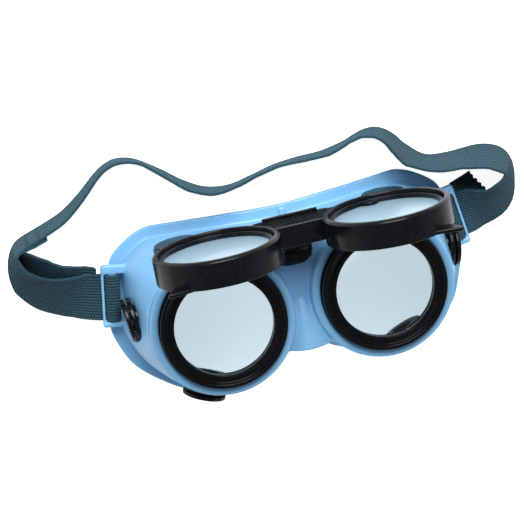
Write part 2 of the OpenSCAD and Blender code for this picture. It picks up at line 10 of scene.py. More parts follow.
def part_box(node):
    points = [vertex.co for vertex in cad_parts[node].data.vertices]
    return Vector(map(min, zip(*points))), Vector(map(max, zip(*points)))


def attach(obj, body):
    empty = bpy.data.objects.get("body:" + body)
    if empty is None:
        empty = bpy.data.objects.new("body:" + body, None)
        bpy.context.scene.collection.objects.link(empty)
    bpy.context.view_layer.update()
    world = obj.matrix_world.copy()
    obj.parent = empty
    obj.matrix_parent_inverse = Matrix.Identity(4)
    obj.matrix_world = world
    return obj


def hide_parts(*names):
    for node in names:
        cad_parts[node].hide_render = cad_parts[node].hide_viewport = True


bl_info = {
    "name": "Flip-up Goggles",
    "version": (1, 0, 0),
    "blender": (4, 5, 0),
    "location": "View3D > Sidebar > Goggles",
    "description": "Soft goggles with screw rings, a flip-up lens frame, vents and an elastic strap",
    "category": "Add Mesh",
}

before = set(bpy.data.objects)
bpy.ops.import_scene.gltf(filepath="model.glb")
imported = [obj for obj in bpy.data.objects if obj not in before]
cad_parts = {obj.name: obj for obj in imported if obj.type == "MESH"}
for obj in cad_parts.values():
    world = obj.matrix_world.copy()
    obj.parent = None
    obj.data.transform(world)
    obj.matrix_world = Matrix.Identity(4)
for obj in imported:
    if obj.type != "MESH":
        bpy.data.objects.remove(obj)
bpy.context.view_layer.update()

MM = 0.001
SIDES = (("left", -1), ("right", 1))
VENTS = ("side", "top", "low")


def span(node):
    """The lowest and highest corner of a CAD node, in millimetres."""
    low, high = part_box(node)
    return Vector(low) / MM, Vector(high) / MM


def middle(node):
    low, high = span(node)
    return (low + high) / 2


# Cups, rings and lenses, in millimetres, with the main ones from the frame
RING_LOW, RING_HIGH = span("right_retaining_ring")
CUP_X = middle("right_retaining_ring").x
RING_R = (RING_HIGH.x - RING_LOW.x) / 2
RING_TOP = RING_HIGH.z
LENS_LOW, LENS_HIGH = span("right_clear_lens")
LENS_R = (LENS_HIGH.x - LENS_LOW.x) / 2
WINDOW_R = 23.5
PIN = middle("hinge_pin")
PIN_BORE_R = 1.25
PIN_BORE_HALF = 20
FIT_GAP = 0.3
CUP_TOP = RING_TOP - 4
FRONT_H = CUP_TOP - 6
CUP_WALL = 4.3
CUP_R = RING_R + FIT_GAP + CUP_WALL
LEDGE = 0.7
FRONT_R = CUP_R + LEDGE

# Rim and shell, in millimetres
WALL = 2.4
FLANGE_W = 6
FLANGE_T = 2.6
FLANGE_FOOT = 0.2
UNDERSIDE_W = 0.8
UNDER_FLOOR = -5
HALF_W = 89
RIM_TOP = 45
RIM_LOW = 41.5
BROW_RISE = 12
BROW_REACH = 62
NOSE_RISE = 24
NOSE_REACH = 17
FLANK_BULGE = 5.5
FLANK_Y = -34
FLANK_SPREAD = 12
FLANK_FROM = 40
NOSE_R = 12.4
HOOD_LENGTH = 30
HOOD_POINTS = 20
HOOD_POWER = 0.6
HOOD_Y = 8.5
HOOD_SINK = 4.5
HOOD_INNER_SHARE = 0.87
PEG_R = 2.1
PEG_LENGTH = 9.3
PEG_PLACE = (0.8, RIM_TOP - 9.5, 26)
TRIANGLES = 170000

# Vents, in millimetres. Some sit deeper, and some stems reach further, than in the CAD.
VENT_R = 10.5
DISC_T = 2
VENT_GAP = 0.8
POST_R = 1
POST_RING_R = 7.1
STEM_R = 6
STEM_BORE_R = 4.4
STEM_LIP_R = 8.8
STEM_LIP_T = 1.6
STEM_REACH = 0.3
LONG_STEM_REACH = {("left", "low"): 6, ("right", "low"): 2.4}
SUNK = {("right", "low"): 2.4, ("left", "top"): 2.2, ("right", "top"): 1.2}
BOSS_T = 3.5
BOSS_WALL = 1.9
BOSS_REACH = 8.5
SEAT_LIP_R = 7.8
SEAT_GAP = 0.4
STEM_GAP = 0.1
VENT_SEATS = {
    "side": ((HALF_W - 12, 7, 22), (0, 90, -6)),
    "top": ((HALF_W - 38, RIM_TOP - 9, 21), (-90, 0, -2)),
    "low": ((HALF_W - 37.8, 7 - RIM_LOW, 20), (90, 0, 22))}

# Strap and lugs, in millimetres and degrees
STRAP_W = 25
STRAP_T = 1.4
SQUEEZE = 0.9
RIB_ROOM = 0.3
FLOOR_GAP = 0.14
LUG_PLACE = (HALF_W - 4.1, 16, 9.4)
LUG_TURN = 9
LUG_HALF = STRAP_W * SQUEEZE / 2 + 0.4
BAR_W = 4
BAR_T = 2.6
BAR_END = 1
KEEPER_U = BAR_W / 2 + STRAP_T + 2 * FIT_GAP
KEEPER_W = 1.4
ARM_ROOT = 9.5
ARM_HALF_T = 1.9
ARM_TOP_W = 4.6
ARM_LOW_W = 2.8

# Flip-up frame, in millimetres, as it lies closed over the rings
FLIP_Z = RING_TOP + 1
FLIP_R = 28.9
FLIP_TOP = FLIP_Z + 12.5
FLIP_CHAMFER = 1.1
FLIP_WALL_R = LENS_R + 1.1
SEAT_R = LENS_R - 1.2
SEAT_Z = FLIP_Z + 5
SEAT_T = 2
DARK_Z = SEAT_Z + 0.6
DARK_T = 3
TAB_ROOT = 1.5
TAB_REACH = 9
TAB_T = 1.8
KNUCKLE_R = 3.2
KNUCKLE_HALF = 4.5
BRIDGE_LOW = 11.5
BRIDGE_HIGH = PIN.y - KNUCKLE_R - 0.6
BRIDGE_TOP = FLIP_Z + 10.5
GROOVES = 5
GROOVE_START = 2.6
GROOVE_PITCH = 3.4
GROOVE_DEPTH = 0.6
GROOVE_W = 1.4
PAD_ANGLES = {"left": 205, "right": 95}


class GogglesSizes(bpy.types.PropertyGroup):
    """Sizes that may be changed before the pieces are built"""

    edge: FloatProperty(
        name="Edge rounding", description="Rounding of the bracket's plate and block and of the lift tabs",
        default=0.0005, unit="LENGTH")
    grain: FloatProperty(
        name="Shell grain", description="Voxel size of the soft shell's skin",
        default=0.00062, unit="LENGTH")
    strap_rib_height: FloatProperty(
        name="Rib height", description="Height of the ribs woven into the strap",
        default=0.00014, unit="LENGTH")
    strap_ribs: IntProperty(name="Ribs", description="Ribs across the strap", default=16)
    round_steps: IntProperty(
        name="Round steps", description="Steps in a full turn of a round piece", default=128)


class GogglesColours(bpy.types.PropertyGroup):
    """Colours of the finishes"""

    shell: FloatVectorProperty(
        name="Shell", description="Soft vinyl of the mask", subtype="COLOR", default=(0.2, 0.455, 0.725))
    plastic: FloatVectorProperty(
        name="Black plastic", description="Rings, frame and vents", subtype="COLOR",
        default=(0.003, 0.0035, 0.0045))
    rubber: FloatVectorProperty(
        name="Rubber", description="Gaskets and washers", subtype="COLOR", default=(0.012, 0.012, 0.013))
    clear: FloatVectorProperty(
        name="Clear lens", description="Tint of the clear lenses", subtype="COLOR",
        default=(0.81, 0.95, 1.0))
    # The dark lens colour is a painted reflection: a pale grey-blue that stands for bright surroundings
    # mirrored in the lens
    dark: FloatVectorProperty(
        name="Dark lens", description="Tint of the flip-up lenses", subtype="COLOR",
        default=(0.3, 0.44, 0.54))
    yarn: FloatVectorProperty(
        name="Yarn", description="Yarn of the strap", subtype="COLOR", default=(0.013, 0.042, 0.06))
    steel: FloatVectorProperty(
        name="Steel", description="Pin, screws and plate", subtype="COLOR", default=(0.55, 0.56, 0.58))


def sizes():
    return bpy.context.scene.goggles_sizes


def colours():
    return bpy.context.scene.goggles_colours


# Outlines


def wrapped(points, i):
    return points[i % len(points)]


def cubic(a, b, c, d, t):
    """A smooth curve from b to c, with a and d as the neighbours."""
    second = 2 * a - 5 * b + 4 * c - d
    third = 3 * b - a - 3 * c + d
    return 0.5 * (2 * b + (c - a) * t + second * t * t + third * t ** 3)


def smooth_ring(points, steps):
    return [
        cubic(wrapped(points, i - 1), points[i], wrapped(points, i + 1), wrapped(points, i + 2), k / steps)
        for i in range(len(points)) for k in range(steps)]


def mirrored(half):
    """A whole outline from its right half, which starts and ends on the middle line."""
    return half + [Vector((-p.x, p.y)) for p in reversed(half[1:-1])]


def inset(points, distance):
    """A clockwise outline, moved inwards."""
    moved = []
    for i, p in enumerate(points):
        travel = (wrapped(points, i + 1) - wrapped(points, i - 1)).normalized()
        moved.append(p - distance * Vector((-travel.y, travel.x)))
    return moved


def mixed(a, b, t):
    """The outline a share of the way from one outline to another."""
    return [p * (1 - t) + q * t for p, q in zip(a, b)]


# Mesh tools

MERGE_GAP = 0.005 * MM


def begin(add, **options):
    """Adds a primitive with nothing else selected."""
    bpy.ops.object.select_all(action="DESELECT")
    add(**options)
    return bpy.context.active_object


def only(obj):
    bpy.ops.object.select_all(action="DESELECT")
    obj.select_set(True)
    bpy.context.view_layer.objects.active = obj


def edited(obj):
    """Opens the edit mode of one object."""
    only(obj)
    bpy.ops.object.mode_set(mode="EDIT")
    mesh = bmesh.from_edit_mesh(obj.data)
    mesh.verts.ensure_lookup_table()
    return mesh


def closed_edit(obj):
    """Merges what lies together, turns the faces outwards and leaves edit mode."""
    bpy.ops.mesh.select_all(action="SELECT")
    bpy.ops.mesh.remove_doubles(threshold=MERGE_GAP)
    bpy.ops.mesh.delete_loose()
    bpy.ops.mesh.select_all(action="SELECT")
    bpy.ops.mesh.normals_make_consistent(inside=False)
    bpy.ops.object.mode_set(mode="OBJECT")
    return obj


def loop_object(name, points):
    """A closed wire through the points, in millimetres, made from a circle, and left in edit mode."""
    obj = begin(bpy.ops.mesh.primitive_circle_add, vertices=len(points), fill_type="NOTHING")
    obj.name = name
    mesh = edited(obj)
    for vertex, point in zip(mesh.verts, points):
        vertex.co = Vector(point) * MM
    bmesh.update_edit_mesh(obj.data)
    return obj


def grow(obj, ring, points):
    """Extrudes the selected ring and places the new one. Returns the new ring's numbers."""
    bpy.ops.mesh.extrude_region()
    mesh = bmesh.from_edit_mesh(obj.data)
    mesh.verts.index_update()
    mesh.verts.ensure_lookup_table()
    fresh = []
    for number, point in zip(ring, points):
        old = mesh.verts[number]
        new = next(e.other_vert(old) for e in old.link_edges if e.other_vert(old).select)
        new.co = Vector(point) * MM
        fresh.append(new.index)
    bmesh.update_edit_mesh(obj.data)
    return fresh


def lofted(name, rings):
    """A closed solid through rings of points: the first ring is filled and extruded to each next ring."""
    obj = loop_object(name, rings[0])
    bpy.ops.mesh.select_all(action="SELECT")
    bpy.ops.mesh.edge_face_add()
    ring = list(range(len(rings[0])))
    for points in rings[1:]:
        ring = grow(obj, ring, points)
    return closed_edit(obj)


def spun(name, profile, steps=None):
    """A round solid: a closed profile of (radius, height) turned about the Z axis, in millimetres."""
    obj = loop_object(name, [(r, 0, z) for r, z in profile])
    bpy.ops.mesh.select_all(action="SELECT")
    bpy.ops.mesh.spin(
        steps=steps or sizes().round_steps, angle=math.tau, center=(0, 0, 0), axis=(0, 0, 1))
    return closed_edit(obj)


def extruded(name, outline, low, high):
    """A flat plate: an outline of (x, y) filled and extruded from low to high, in millimetres."""
    obj = loop_object(name, [(x, y, low) for x, y in outline])
    bpy.ops.mesh.select_all(action="SELECT")
    bpy.ops.mesh.edge_face_add()
    bpy.ops.mesh.extrude_region_move(TRANSFORM_OT_translate={"value": (0, 0, (high - low) * MM)})
    return closed_edit(obj)


def square(inner, outer, low, high):
    """The profile of a ring with square corners for spun, or of a solid disc where inner is 0."""
    return [(inner, low), (outer, low), (outer, high), (inner, high)]


def block(name, low, high):
    """A box from corner to corner, in millimetres."""
    corners = [(low[0], low[1]), (high[0], low[1]), (high[0], high[1]), (low[0], high[1])]
    return extruded(name, corners, low[2], high[2])


def rod(name, start, end, radius, steps=48):
    """A cylinder from point to point, in millimetres, closed at both ends."""
    a, b = Vector(start), Vector(end)
    obj = spun(name, square(0, radius, 0, (b - a).length), steps=steps)
    turn = Vector((0, 0, 1)).rotation_difference((b - a).normalized()).to_matrix().to_4x4()
    return settled(obj, Matrix.Translation(a * MM) @ turn)


def settled(obj, matrix):
    """Moves an object and puts its place into its mesh. Mirrored faces are turned outwards again."""
    only(obj)
    obj.matrix_world = matrix @ obj.matrix_world
    bpy.ops.object.transform_apply(location=True, rotation=True, scale=True)
    if matrix.determinant() < 0:
        edited(obj)
        closed_edit(obj)
    return obj


def with_modifier(obj, kind, **settings):
    """Adds a modifier and applies it."""
    only(obj)
    modifier = obj.modifiers.new(kind.title(), kind)
    for key, value in settings.items():
        setattr(modifier, key, value)
    bpy.ops.object.modifier_apply(modifier=modifier.name)
    return obj


def rounded(obj, width=None):
    """Rounds the sharp edges by a width in metres, or by the edge rounding in the panel."""
    return with_modifier(
        obj, "BEVEL", width=width or sizes().edge, segments=3, limit_method="ANGLE",
        angle_limit=math.radians(30))


def combined(obj, tools, operation="UNION"):
    """Joins or cuts an object with others, which are used up."""
    for tool in tools:
        with_modifier(obj, "BOOLEAN", operation=operation, object=tool, solver="MANIFOLD")
        bpy.data.objects.remove(tool)
    return obj


def cut(obj, tools):
    return combined(obj, tools, "DIFFERENCE")


def joined(obj, others):
    """Makes one object of several that need no boolean, such as the vents' tools or the threads."""
    bpy.ops.object.select_all(action="DESELECT")
    for other in others:
        other.select_set(True)
    obj.select_set(True)
    bpy.context.view_layer.objects.active = obj
    bpy.ops.object.join()
    return obj


def twin(obj, name, matrix):
    """A copy with its own mesh, placed by a matrix."""
    other = obj.copy()
    other.data = obj.data.copy()
    other.name = name
    bpy.context.collection.objects.link(other)
    return settled(other, matrix)


def smooth(obj, angle):
    """Shades an object smooth, apart from edges sharper than an angle in degrees."""
    only(obj)
    bpy.ops.object.shade_smooth_by_angle(angle=math.radians(angle))
    return obj


def placed(point):
    """A move to a point in millimetres."""
    return Matrix.Translation(Vector(point) * MM)


def turned(angle, axis):
    """A turn by degrees about an axis."""
    return Matrix.Rotation(math.radians(angle), 4, axis)


def cup_place(side):
    return Matrix.Translation((side * CUP_X * MM, 0, 0))


def at_cups(obj):
    """Two copies of an object, one at each cup, in place of the object."""
    pair = [twin(obj, obj.name, cup_place(side)) for _, side in SIDES]
    bpy.data.objects.remove(obj)
    return pair


def finished(obj, name, body, slot, *nodes):
    """Names a piece, gives it its finish, and fixes it to a body in place of its CAD nodes."""
    obj.name = name
    obj.data.name = name
    obj.data.materials.clear()
    obj.data.materials.append(finish(slot))
    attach(obj, body)
    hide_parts(*nodes)


FLIP = Matrix.Scale(-1, 4, (1, 0, 0))
OPEN = placed((0, PIN.y, PIN.z)) @ turned(-90, "X") @ placed((0, -PIN.y, -PIN.z))


# Finishes

YARN_LOOP = 1.25 * MM


def blank(name):
    """A new material with its node tree, its shader and its Object coordinates."""
    material = bpy.data.materials.new(name)
    material.use_nodes = True
    tree = material.node_tree
    shader = tree.nodes["Principled BSDF"]
    place = tree.nodes.new("ShaderNodeTexCoord")
    return material, tree, shader, place.outputs["Object"]


def noise(tree, place, scale, detail, stretch=None):
    """The value of a noise pattern. The scale is in waves a metre."""
    if stretch:
        mapping = tree.nodes.new("ShaderNodeMapping")
        mapping.inputs["Scale"].default_value = stretch
        tree.links.new(place, mapping.inputs["Vector"])
        place = mapping.outputs["Vector"]
    pattern = tree.nodes.new("ShaderNodeTexNoise")
    pattern.inputs["Scale"].default_value = scale
    pattern.inputs["Detail"].default_value = detail
    tree.links.new(place, pattern.inputs["Vector"])
    return pattern.outputs["Fac"]


def ranged(tree, value, low, high, start=0.3, end=0.7):
    """The value mapped from start to end onto low to high."""
    node = tree.nodes.new("ShaderNodeMapRange")
    node.inputs["From Min"].default_value = start
    node.inputs["From Max"].default_value = end
    node.inputs["To Min"].default_value = low
    node.inputs["To Max"].default_value = high
    tree.links.new(value, node.inputs["Value"])
    return node.outputs["Result"]


def blended(tree, factor, first, second):
    """A colour between two, by a factor."""
    node = tree.nodes.new("ShaderNodeMix")
    node.data_type = "RGBA"
    tree.links.new(factor, node.inputs["Factor"])
    for socket, colour in (("A", first), ("B", second)):
        target = next(s for s in node.inputs if s.name == socket and s.type == "RGBA")
        if isinstance(colour, bpy.types.NodeSocket):
            tree.links.new(colour, target)
        else:
            target.default_value = (*colour, 1)
    return next(s for s in node.outputs if s.type == "RGBA")


def calculated(tree, operation, first, second=None, third=None):
    """The result of a sum on up to three sockets or numbers."""
    node = tree.nodes.new("ShaderNodeMath")
    node.operation = operation
    for socket, value in zip(node.inputs, (first, second, third)):
        if isinstance(value, bpy.types.NodeSocket):
            tree.links.new(value, socket)
        elif value is not None:
            socket.default_value = value
    return node.outputs[0]


def bumped(tree, shader, heights):
    """Bumps from (height value, strength, depth in metres), one on top of the other."""
    normal = None
    for height, strength, depth in heights:
        bump = tree.nodes.new("ShaderNodeBump")
        bump.inputs["Strength"].default_value = strength
        bump.inputs["Distance"].default_value = depth
        tree.links.new(height, bump.inputs["Height"])
        if normal:
            tree.links.new(normal, bump.inputs["Normal"])
        normal = bump.outputs["Normal"]
    tree.links.new(normal, shader.inputs["Normal"])


def scaled(colour, factor):
    return tuple(min(1, c * factor) for c in colour)


def painted(tree, shader, pattern, first, second, start=0.3, end=0.7):
    """The base colour, from the first to the second as a pattern goes from start to end."""
    colour = blended(tree, ranged(tree, pattern, 0, 1, start, end), first, second)
    tree.links.new(colour, shader.inputs["Base Color"])


def roughened(tree, shader, pattern, low, high):
    tree.links.new(ranged(tree, pattern, low, high), shader.inputs["Roughness"])


def preset(shader, values):
    """Sets the sockets of a shader that hold one value all over."""
    for socket, value in values.items():
        shader.inputs[socket].default_value = value


def soft_vinyl():
    """Blue vinyl: soft, half glossy, slightly see-through, with a fine moulded grain."""
    material, tree, shader, place = blank("soft_blue_vinyl")
    base = colours().shell
    painted(tree, shader, noise(tree, place, 26, 2), scaled(base, 0.94), scaled(base, 1.06))
    roughened(tree, shader, noise(tree, place, 90, 4), 0.3, 0.42)
    preset(shader, {
        "IOR": 1.5, "Subsurface Weight": 0.25, "Subsurface Radius": (0.4, 0.8, 1.0),
        "Subsurface Scale": 0.003})
    grain = noise(tree, place, 2600, 2)
    sink = noise(tree, place, 60, 1)
    bumped(tree, shader, [(grain, 0.25, 0.00003), (sink, 0.12, 0.0006)])
    return material


def moulded_plastic():
    """Black plastic with a satin face, faint flow marks and fine dust-like scuffs."""
    material, tree, shader, place = blank("black_moulded_plastic")
    base = colours().plastic
    painted(tree, shader, noise(tree, place, 700, 5), base, scaled(base, 2.4), 0.5, 0.8)
    flow = noise(tree, place, 120, 4, (1, 1, 0.35))
    roughened(tree, shader, flow, 0.16, 0.28)
    preset(shader, {"IOR": 1.46, "Specular IOR Level": 0.22})
    grain = noise(tree, place, 3400, 2)
    bumped(tree, shader, [(grain, 0.15, 0.00002), (flow, 0.1, 0.0002)])
    return material


def black_rubber():
    """Dull black rubber with a faint bloom."""
    material, tree, shader, place = blank("black_rubber")
    base = colours().rubber
    bloom = noise(tree, place, 260, 4)
    painted(tree, shader, bloom, base, scaled(base, 2))
    roughened(tree, shader, bloom, 0.6, 0.8)
    bumped(tree, shader, [(noise(tree, place, 1800, 3), 0.3, 0.00005)])
    return material


def plain_steel():
    """Bright steel, brushed along X."""
    material, tree, shader, place = blank("plain_steel")
    base = colours().steel
    brushing = noise(tree, place, 500, 4, (1, 12, 12))
    painted(tree, shader, brushing, scaled(base, 0.8), base)
    roughened(tree, shader, brushing, 0.2, 0.38)
    preset(shader, {"Metallic": 1})
    bumped(tree, shader, [(brushing, 0.2, 0.00002)])
    return material


def blackened_steel():
    """Steel with a black oxide skin, for the screws."""
    material, tree, shader, place = blank("blackened_steel")
    base = scaled(colours().steel, 0.05)
    patches = noise(tree, place, 900, 4)
    painted(tree, shader, patches, base, scaled(base, 2))
    roughened(tree, shader, patches, 0.35, 0.5)
    preset(shader, {"Metallic": 0.8})
    bumped(tree, shader, [(patches, 0.2, 0.00002)])
    return material


def clear_lens_glass():
    """Clear polished lens with a faint tint and hardly any haze."""
    material, tree, shader, place = blank("clear_lens")
    base = colours().clear
    haze = noise(tree, place, 45, 3)
    painted(tree, shader, haze, base, scaled(base, 0.985))
    roughened(tree, shader, haze, 0.0, 0.02)
    preset(shader, {"IOR": 1.45, "Transmission Weight": 1})
    return material


def dark_lens_glass():
    """Tinted lens that lets a little light through, with an even pale grey-blue base colour that is a painted
    reflection, a sheen of bright surroundings rather than the lens's own dark tint.
    """
    material, tree, shader, place = blank("tinted_lens")
    # The pale base colour is a painted reflection, not the lens's own tint; the haze only varies it a little
    base = colours().dark
    haze = noise(tree, place, 45, 3)
    painted(tree, shader, haze, base, scaled(base, 1.1))
    roughened(tree, shader, haze, 0.3, 0.36)
    preset(shader, {
        "IOR": 1.45, "Transmission Weight": 0.2, "Coat Weight": 0.25, "Coat IOR": 1.4,
        "Coat Roughness": 0.05})
    return material


def ridges(tree, value):
    """A row of round ridges, one for each whole step of a value: 0 between them and 1 on their crowns."""
    angle = calculated(tree, "MULTIPLY", value, math.pi)
    return calculated(tree, "ABSOLUTE", calculated(tree, "SINE", angle))


def woven_yarn():
    """Elastic webbing: ribs along the strap, each of short loops, set off from rib to rib. Its colour holds
    painted light: the loops' crowns are painted lighter and the grooves between them painted darker, and both
    edges carry a painted highlight.
    """
    material, tree, shader, place = blank("woven_strap")
    base = colours().yarn
    uv = tree.nodes.new("ShaderNodeUVMap")
    uv.uv_map = "weave"
    parts = tree.nodes.new("ShaderNodeSeparateXYZ")
    tree.links.new(uv.outputs["UV"], parts.inputs["Vector"])
    along, across = parts.outputs["X"], parts.outputs["Y"]
    rib = calculated(tree, "MULTIPLY", across, sizes().strap_ribs)
    offset = calculated(tree, "MULTIPLY", calculated(tree, "FLOOR", rib), 0.5)
    phase = calculated(tree, "MULTIPLY_ADD", along, 1 / YARN_LOOP, offset)
    crown = calculated(tree, "POWER", ridges(tree, rib), 0.7)
    height = calculated(tree, "MULTIPLY", crown, calculated(tree, "POWER", ridges(tree, phase), 0.6))
    fuzz = noise(tree, place, 5200, 3)
    # Painted light and shade: lighter on the loops' crowns, darker in the grooves between them, with a random
    # fuzz on top
    painted_loop_light_and_fuzz = calculated(tree, "MULTIPLY_ADD", height, 0.8, calculated(tree, "MULTIPLY", fuzz, 0.3))
    # Both long edges of the strap are painted lighter: a painted highlight where the edge catches the light
    off_middle = calculated(tree, "ABSOLUTE", calculated(tree, "SUBTRACT", across, 0.5))
    painted_edge_highlight = ranged(tree, off_middle, 0, 0.55, 0.482, 0.496)
    painted_loop_light_and_fuzz = calculated(tree, "MAXIMUM", painted_loop_light_and_fuzz, painted_edge_highlight)
    # The yarn's colour runs from the grooves' painted shade to the crowns' painted highlight
    weave = blended(tree, ranged(tree, painted_loop_light_and_fuzz, 0, 1, 0.25, 0.95), scaled(base, 0.18), scaled(base, 2.6))
    wear = ranged(tree, noise(tree, place, 70, 3), 0, 0.3)
    tree.links.new(blended(tree, wear, weave, scaled(base, 1.6)), shader.inputs["Base Color"])
    preset(shader, {
        "Roughness": 0.82, "Specular IOR Level": 0.2, "Sheen Weight": 0.06, "Sheen Roughness": 0.5})
    bumped(tree, shader, [(height, 0.9, 0.00035), (fuzz, 0.4, 0.0001)])
    return material


def sewing_thread():
    """Twisted thread in the strap's colour."""
    material, tree, shader, place = blank("sewing_thread")
    base = colours().yarn
    twist = noise(tree, place, 2400, 3, (1, 1, 4))
    painted(tree, shader, twist, scaled(base, 0.5), scaled(base, 1.5))
    roughened(tree, shader, twist, 0.55, 0.75)
    bumped(tree, shader, [(twist, 0.5, 0.0001)])
    return material


def paper_floor():
    """Pale paper that also gives light, like a lit table, most of all where it is seen directly."""
    material, tree, shader, place = blank("pale_floor")
    fibres = noise(tree, place, 240, 3)
    painted(tree, shader, fibres, (0.86, 0.87, 0.88), (0.9, 0.9, 0.9))
    preset(shader, {"Roughness": 0.9, "Emission Color": (1, 1, 1, 1)})
    seen = tree.nodes.new("ShaderNodeLightPath")
    behind_glass = calculated(tree, "MULTIPLY", seen.outputs["Is Transmission Ray"], 0.68)
    through = calculated(tree, "MAXIMUM", seen.outputs["Is Camera Ray"], behind_glass)
    tree.links.new(
        calculated(tree, "MULTIPLY_ADD", through, 0.78, 0.12), shader.inputs["Emission Strength"])
    bumped(tree, shader, [(fibres, 0.1, 0.0001)])
    return material


FINISHES = {
    "soft_shell": soft_vinyl, "black_plastic": moulded_plastic, "gasket": black_rubber, "steel": plain_steel,
    "black_steel": blackened_steel, "clear_lens": clear_lens_glass, "tinted_lens": dark_lens_glass,
    "webbing": woven_yarn, "thread": sewing_thread,
}
made = {}


def finish(slot):
    """The material of a slot, made once."""
    if slot not in made:
        made[slot] = FINISHES[slot]()
    return made[slot]


# The mask

CORNER_SHARE = 0.45
LINE_STEPS = 5
COURSE_STEPS = 3


def softened(profile, radius, segments=4):
    """A closed profile with its corners rounded, in millimetres. Corners on the axis stay sharp."""
    out = []
    for i, corner in enumerate(profile):
        p, a, b = Vector(corner), Vector(profile[i - 1]), Vector(wrapped(profile, i + 1))
        if p.x <= 0:
            out.append((p.x, p.y))
            continue
        reach = min(radius, (a - p).length * CORNER_SHARE, (b - p).length * CORNER_SHARE)
        start = p + (a - p).normalized() * reach
        end = p + (b - p).normalized() * reach
        for k in range(segments + 1):
            t = k / segments
            q = start * (1 - t) ** 2 + p * 2 * t * (1 - t) + end * t * t
            out.append((q.x, q.y))
    return out


def bulged(p):
    """A point of the rim, moved outwards where it is on the lower right flank."""
    if p.x <= FLANK_FROM:
        return p
    return p + Vector((FLANK_BULGE * math.exp(-((p.y - FLANK_Y) / FLANK_SPREAD) ** 2), 0))


def beside_cup(angle):
    """The point of the front outline at an angle, in degrees, about the right cup."""
    a = math.radians(angle)
    return (CUP_X + FRONT_R * math.cos(a), FRONT_R * math.sin(a))


RIM_HALF = [
    (0, RIM_TOP - 1.5), (25, RIM_TOP - 0.7), (48, RIM_TOP - 0.2), (63, RIM_TOP - 0.4),
    (HALF_W - 15.5, RIM_TOP - 4.7), (HALF_W - 6.5, RIM_TOP - 12.4), (HALF_W - 4.4, 22), (HALF_W - 3, 11),
    (HALF_W, 0), (HALF_W - 2.6, -11.5), (HALF_W - 7.6, -21.5), (HALF_W - 16, 11.5 - RIM_LOW),
    (HALF_W - 30, 2 - RIM_LOW), (44, -RIM_LOW), (32, 2 - RIM_LOW), (18, 9 - RIM_LOW), (8, -26), (0, -23.5)]
FRONT_ANGLES = (113, 92, 68, 46, 26, 10, -5, -20, -38, -55, -73, -92, -110, -128)
FRONT_HALF = [(0, FRONT_R), (13, FRONT_R), *map(beside_cup, FRONT_ANGLES), (10.5, -22.5), (0, -20.5)]
RIM_LINE = [bulged(p) for p in smooth_ring(mirrored([Vector(p) for p in RIM_HALF]), LINE_STEPS)]
FRONT_LINE = smooth_ring(mirrored([Vector(p) for p in FRONT_HALF]), LINE_STEPS)
SHELL_FOOT = inset(RIM_LINE, FLANGE_W)
# The share of the way to the front outline, and of the height, from the flange to the front wall
SHELL_STEPS = ((0, 0), (0.08, 0.26), (0.28, 0.5), (0.56, 0.72), (0.85, 0.9), (1, 1))


def rise(p):
    """How far the face side stands over the floor at a point."""
    brow = BROW_RISE * max(0, 1 - (p.x / BROW_REACH) ** 2)
    return brow + ((NOSE_RISE - BROW_RISE) * math.exp(-(p.x / NOSE_REACH) ** 2) if p.y < 0 else 0)


def level(p, z):
    """A point at a height over the face side, which flattens out towards the front wall."""
    low = rise(p)
    if z <= FLANGE_T:
        return (p.x, p.y, low + z)
    return (p.x, p.y, low + FLANGE_T + (FRONT_H - FLANGE_T - low) * (z - FLANGE_T) / (FRONT_H - FLANGE_T))


def ring_at(line, z):
    return [level(p, z) for p in line]


def flat_ring(line, z):
    return [(p.x, p.y, z) for p in line]


def shell_course():
    """The steps of the shell's wall, made finer by a smooth curve, without the first."""
    keys = [Vector(s) for s in SHELL_STEPS]
    keys = [keys[0] * 2 - keys[1]] + keys + [keys[-1] * 2 - keys[-2]]
    course = [
        cubic(*keys[i - 1:i + 3], k / COURSE_STEPS)
        for i in range(1, len(keys) - 2) for k in range(COURSE_STEPS)]
    return course[1:]


def shell_line(t):
    return mixed(SHELL_FOOT, FRONT_LINE, t)


def shell_z(h):
    return FLANGE_T + (FRONT_H - FLANGE_T) * h


def vent_place(side, kind):
    """The place of a vent: its local Z points out of the wall."""
    point, (x, y, z) = VENT_SEATS[kind]
    matrix = placed(point) @ turned(z, "Z") @ turned(y, "Y") @ turned(x, "X")
    matrix = matrix @ placed((0, 0, -SUNK.get((side, kind), 0)))
    return FLIP @ matrix if side == "left" else matrix


def at_vents(obj):
    """Six copies of a tool, one at each vent, as one object."""
    copies = [twin(obj, obj.name, vent_place(side, kind)) for side, _ in SIDES for kind in VENTS]
    bpy.data.objects.remove(obj)
    return joined(copies[0], copies[1:])


def hollow_shell():
    """The flange and the walls: the outside less the space inside, which spares a boss at each vent."""
    course = shell_course()
    inner_foot = inset(SHELL_FOOT, WALL)
    outer = [
        ring_at(inset(SHELL_FOOT, WALL + UNDERSIDE_W), 0), ring_at(RIM_LINE, 0), ring_at(RIM_LINE, FLANGE_T),
        ring_at(SHELL_FOOT, FLANGE_T + FLANGE_FOOT)]
    outer += [ring_at(shell_line(s.x), shell_z(s.y)) for s in course]
    outer += [flat_ring(FRONT_LINE, FRONT_H)]
    inner = [flat_ring(inner_foot, UNDER_FLOOR), ring_at(inner_foot, FLANGE_T)]
    inner += [ring_at(inset(shell_line(s.x), WALL), shell_z(s.y) - WALL * s.y) for s in course]
    inner += [flat_ring(inset(FRONT_LINE, WALL), FRONT_H - WALL)]
    space = lofted("space", inner)
    boss = spun("boss", square(0, VENT_R + BOSS_WALL, -BOSS_T, BOSS_REACH), steps=64)
    space = cut(space, [at_vents(boss)])
    return cut(lofted("mask", outer), [space])


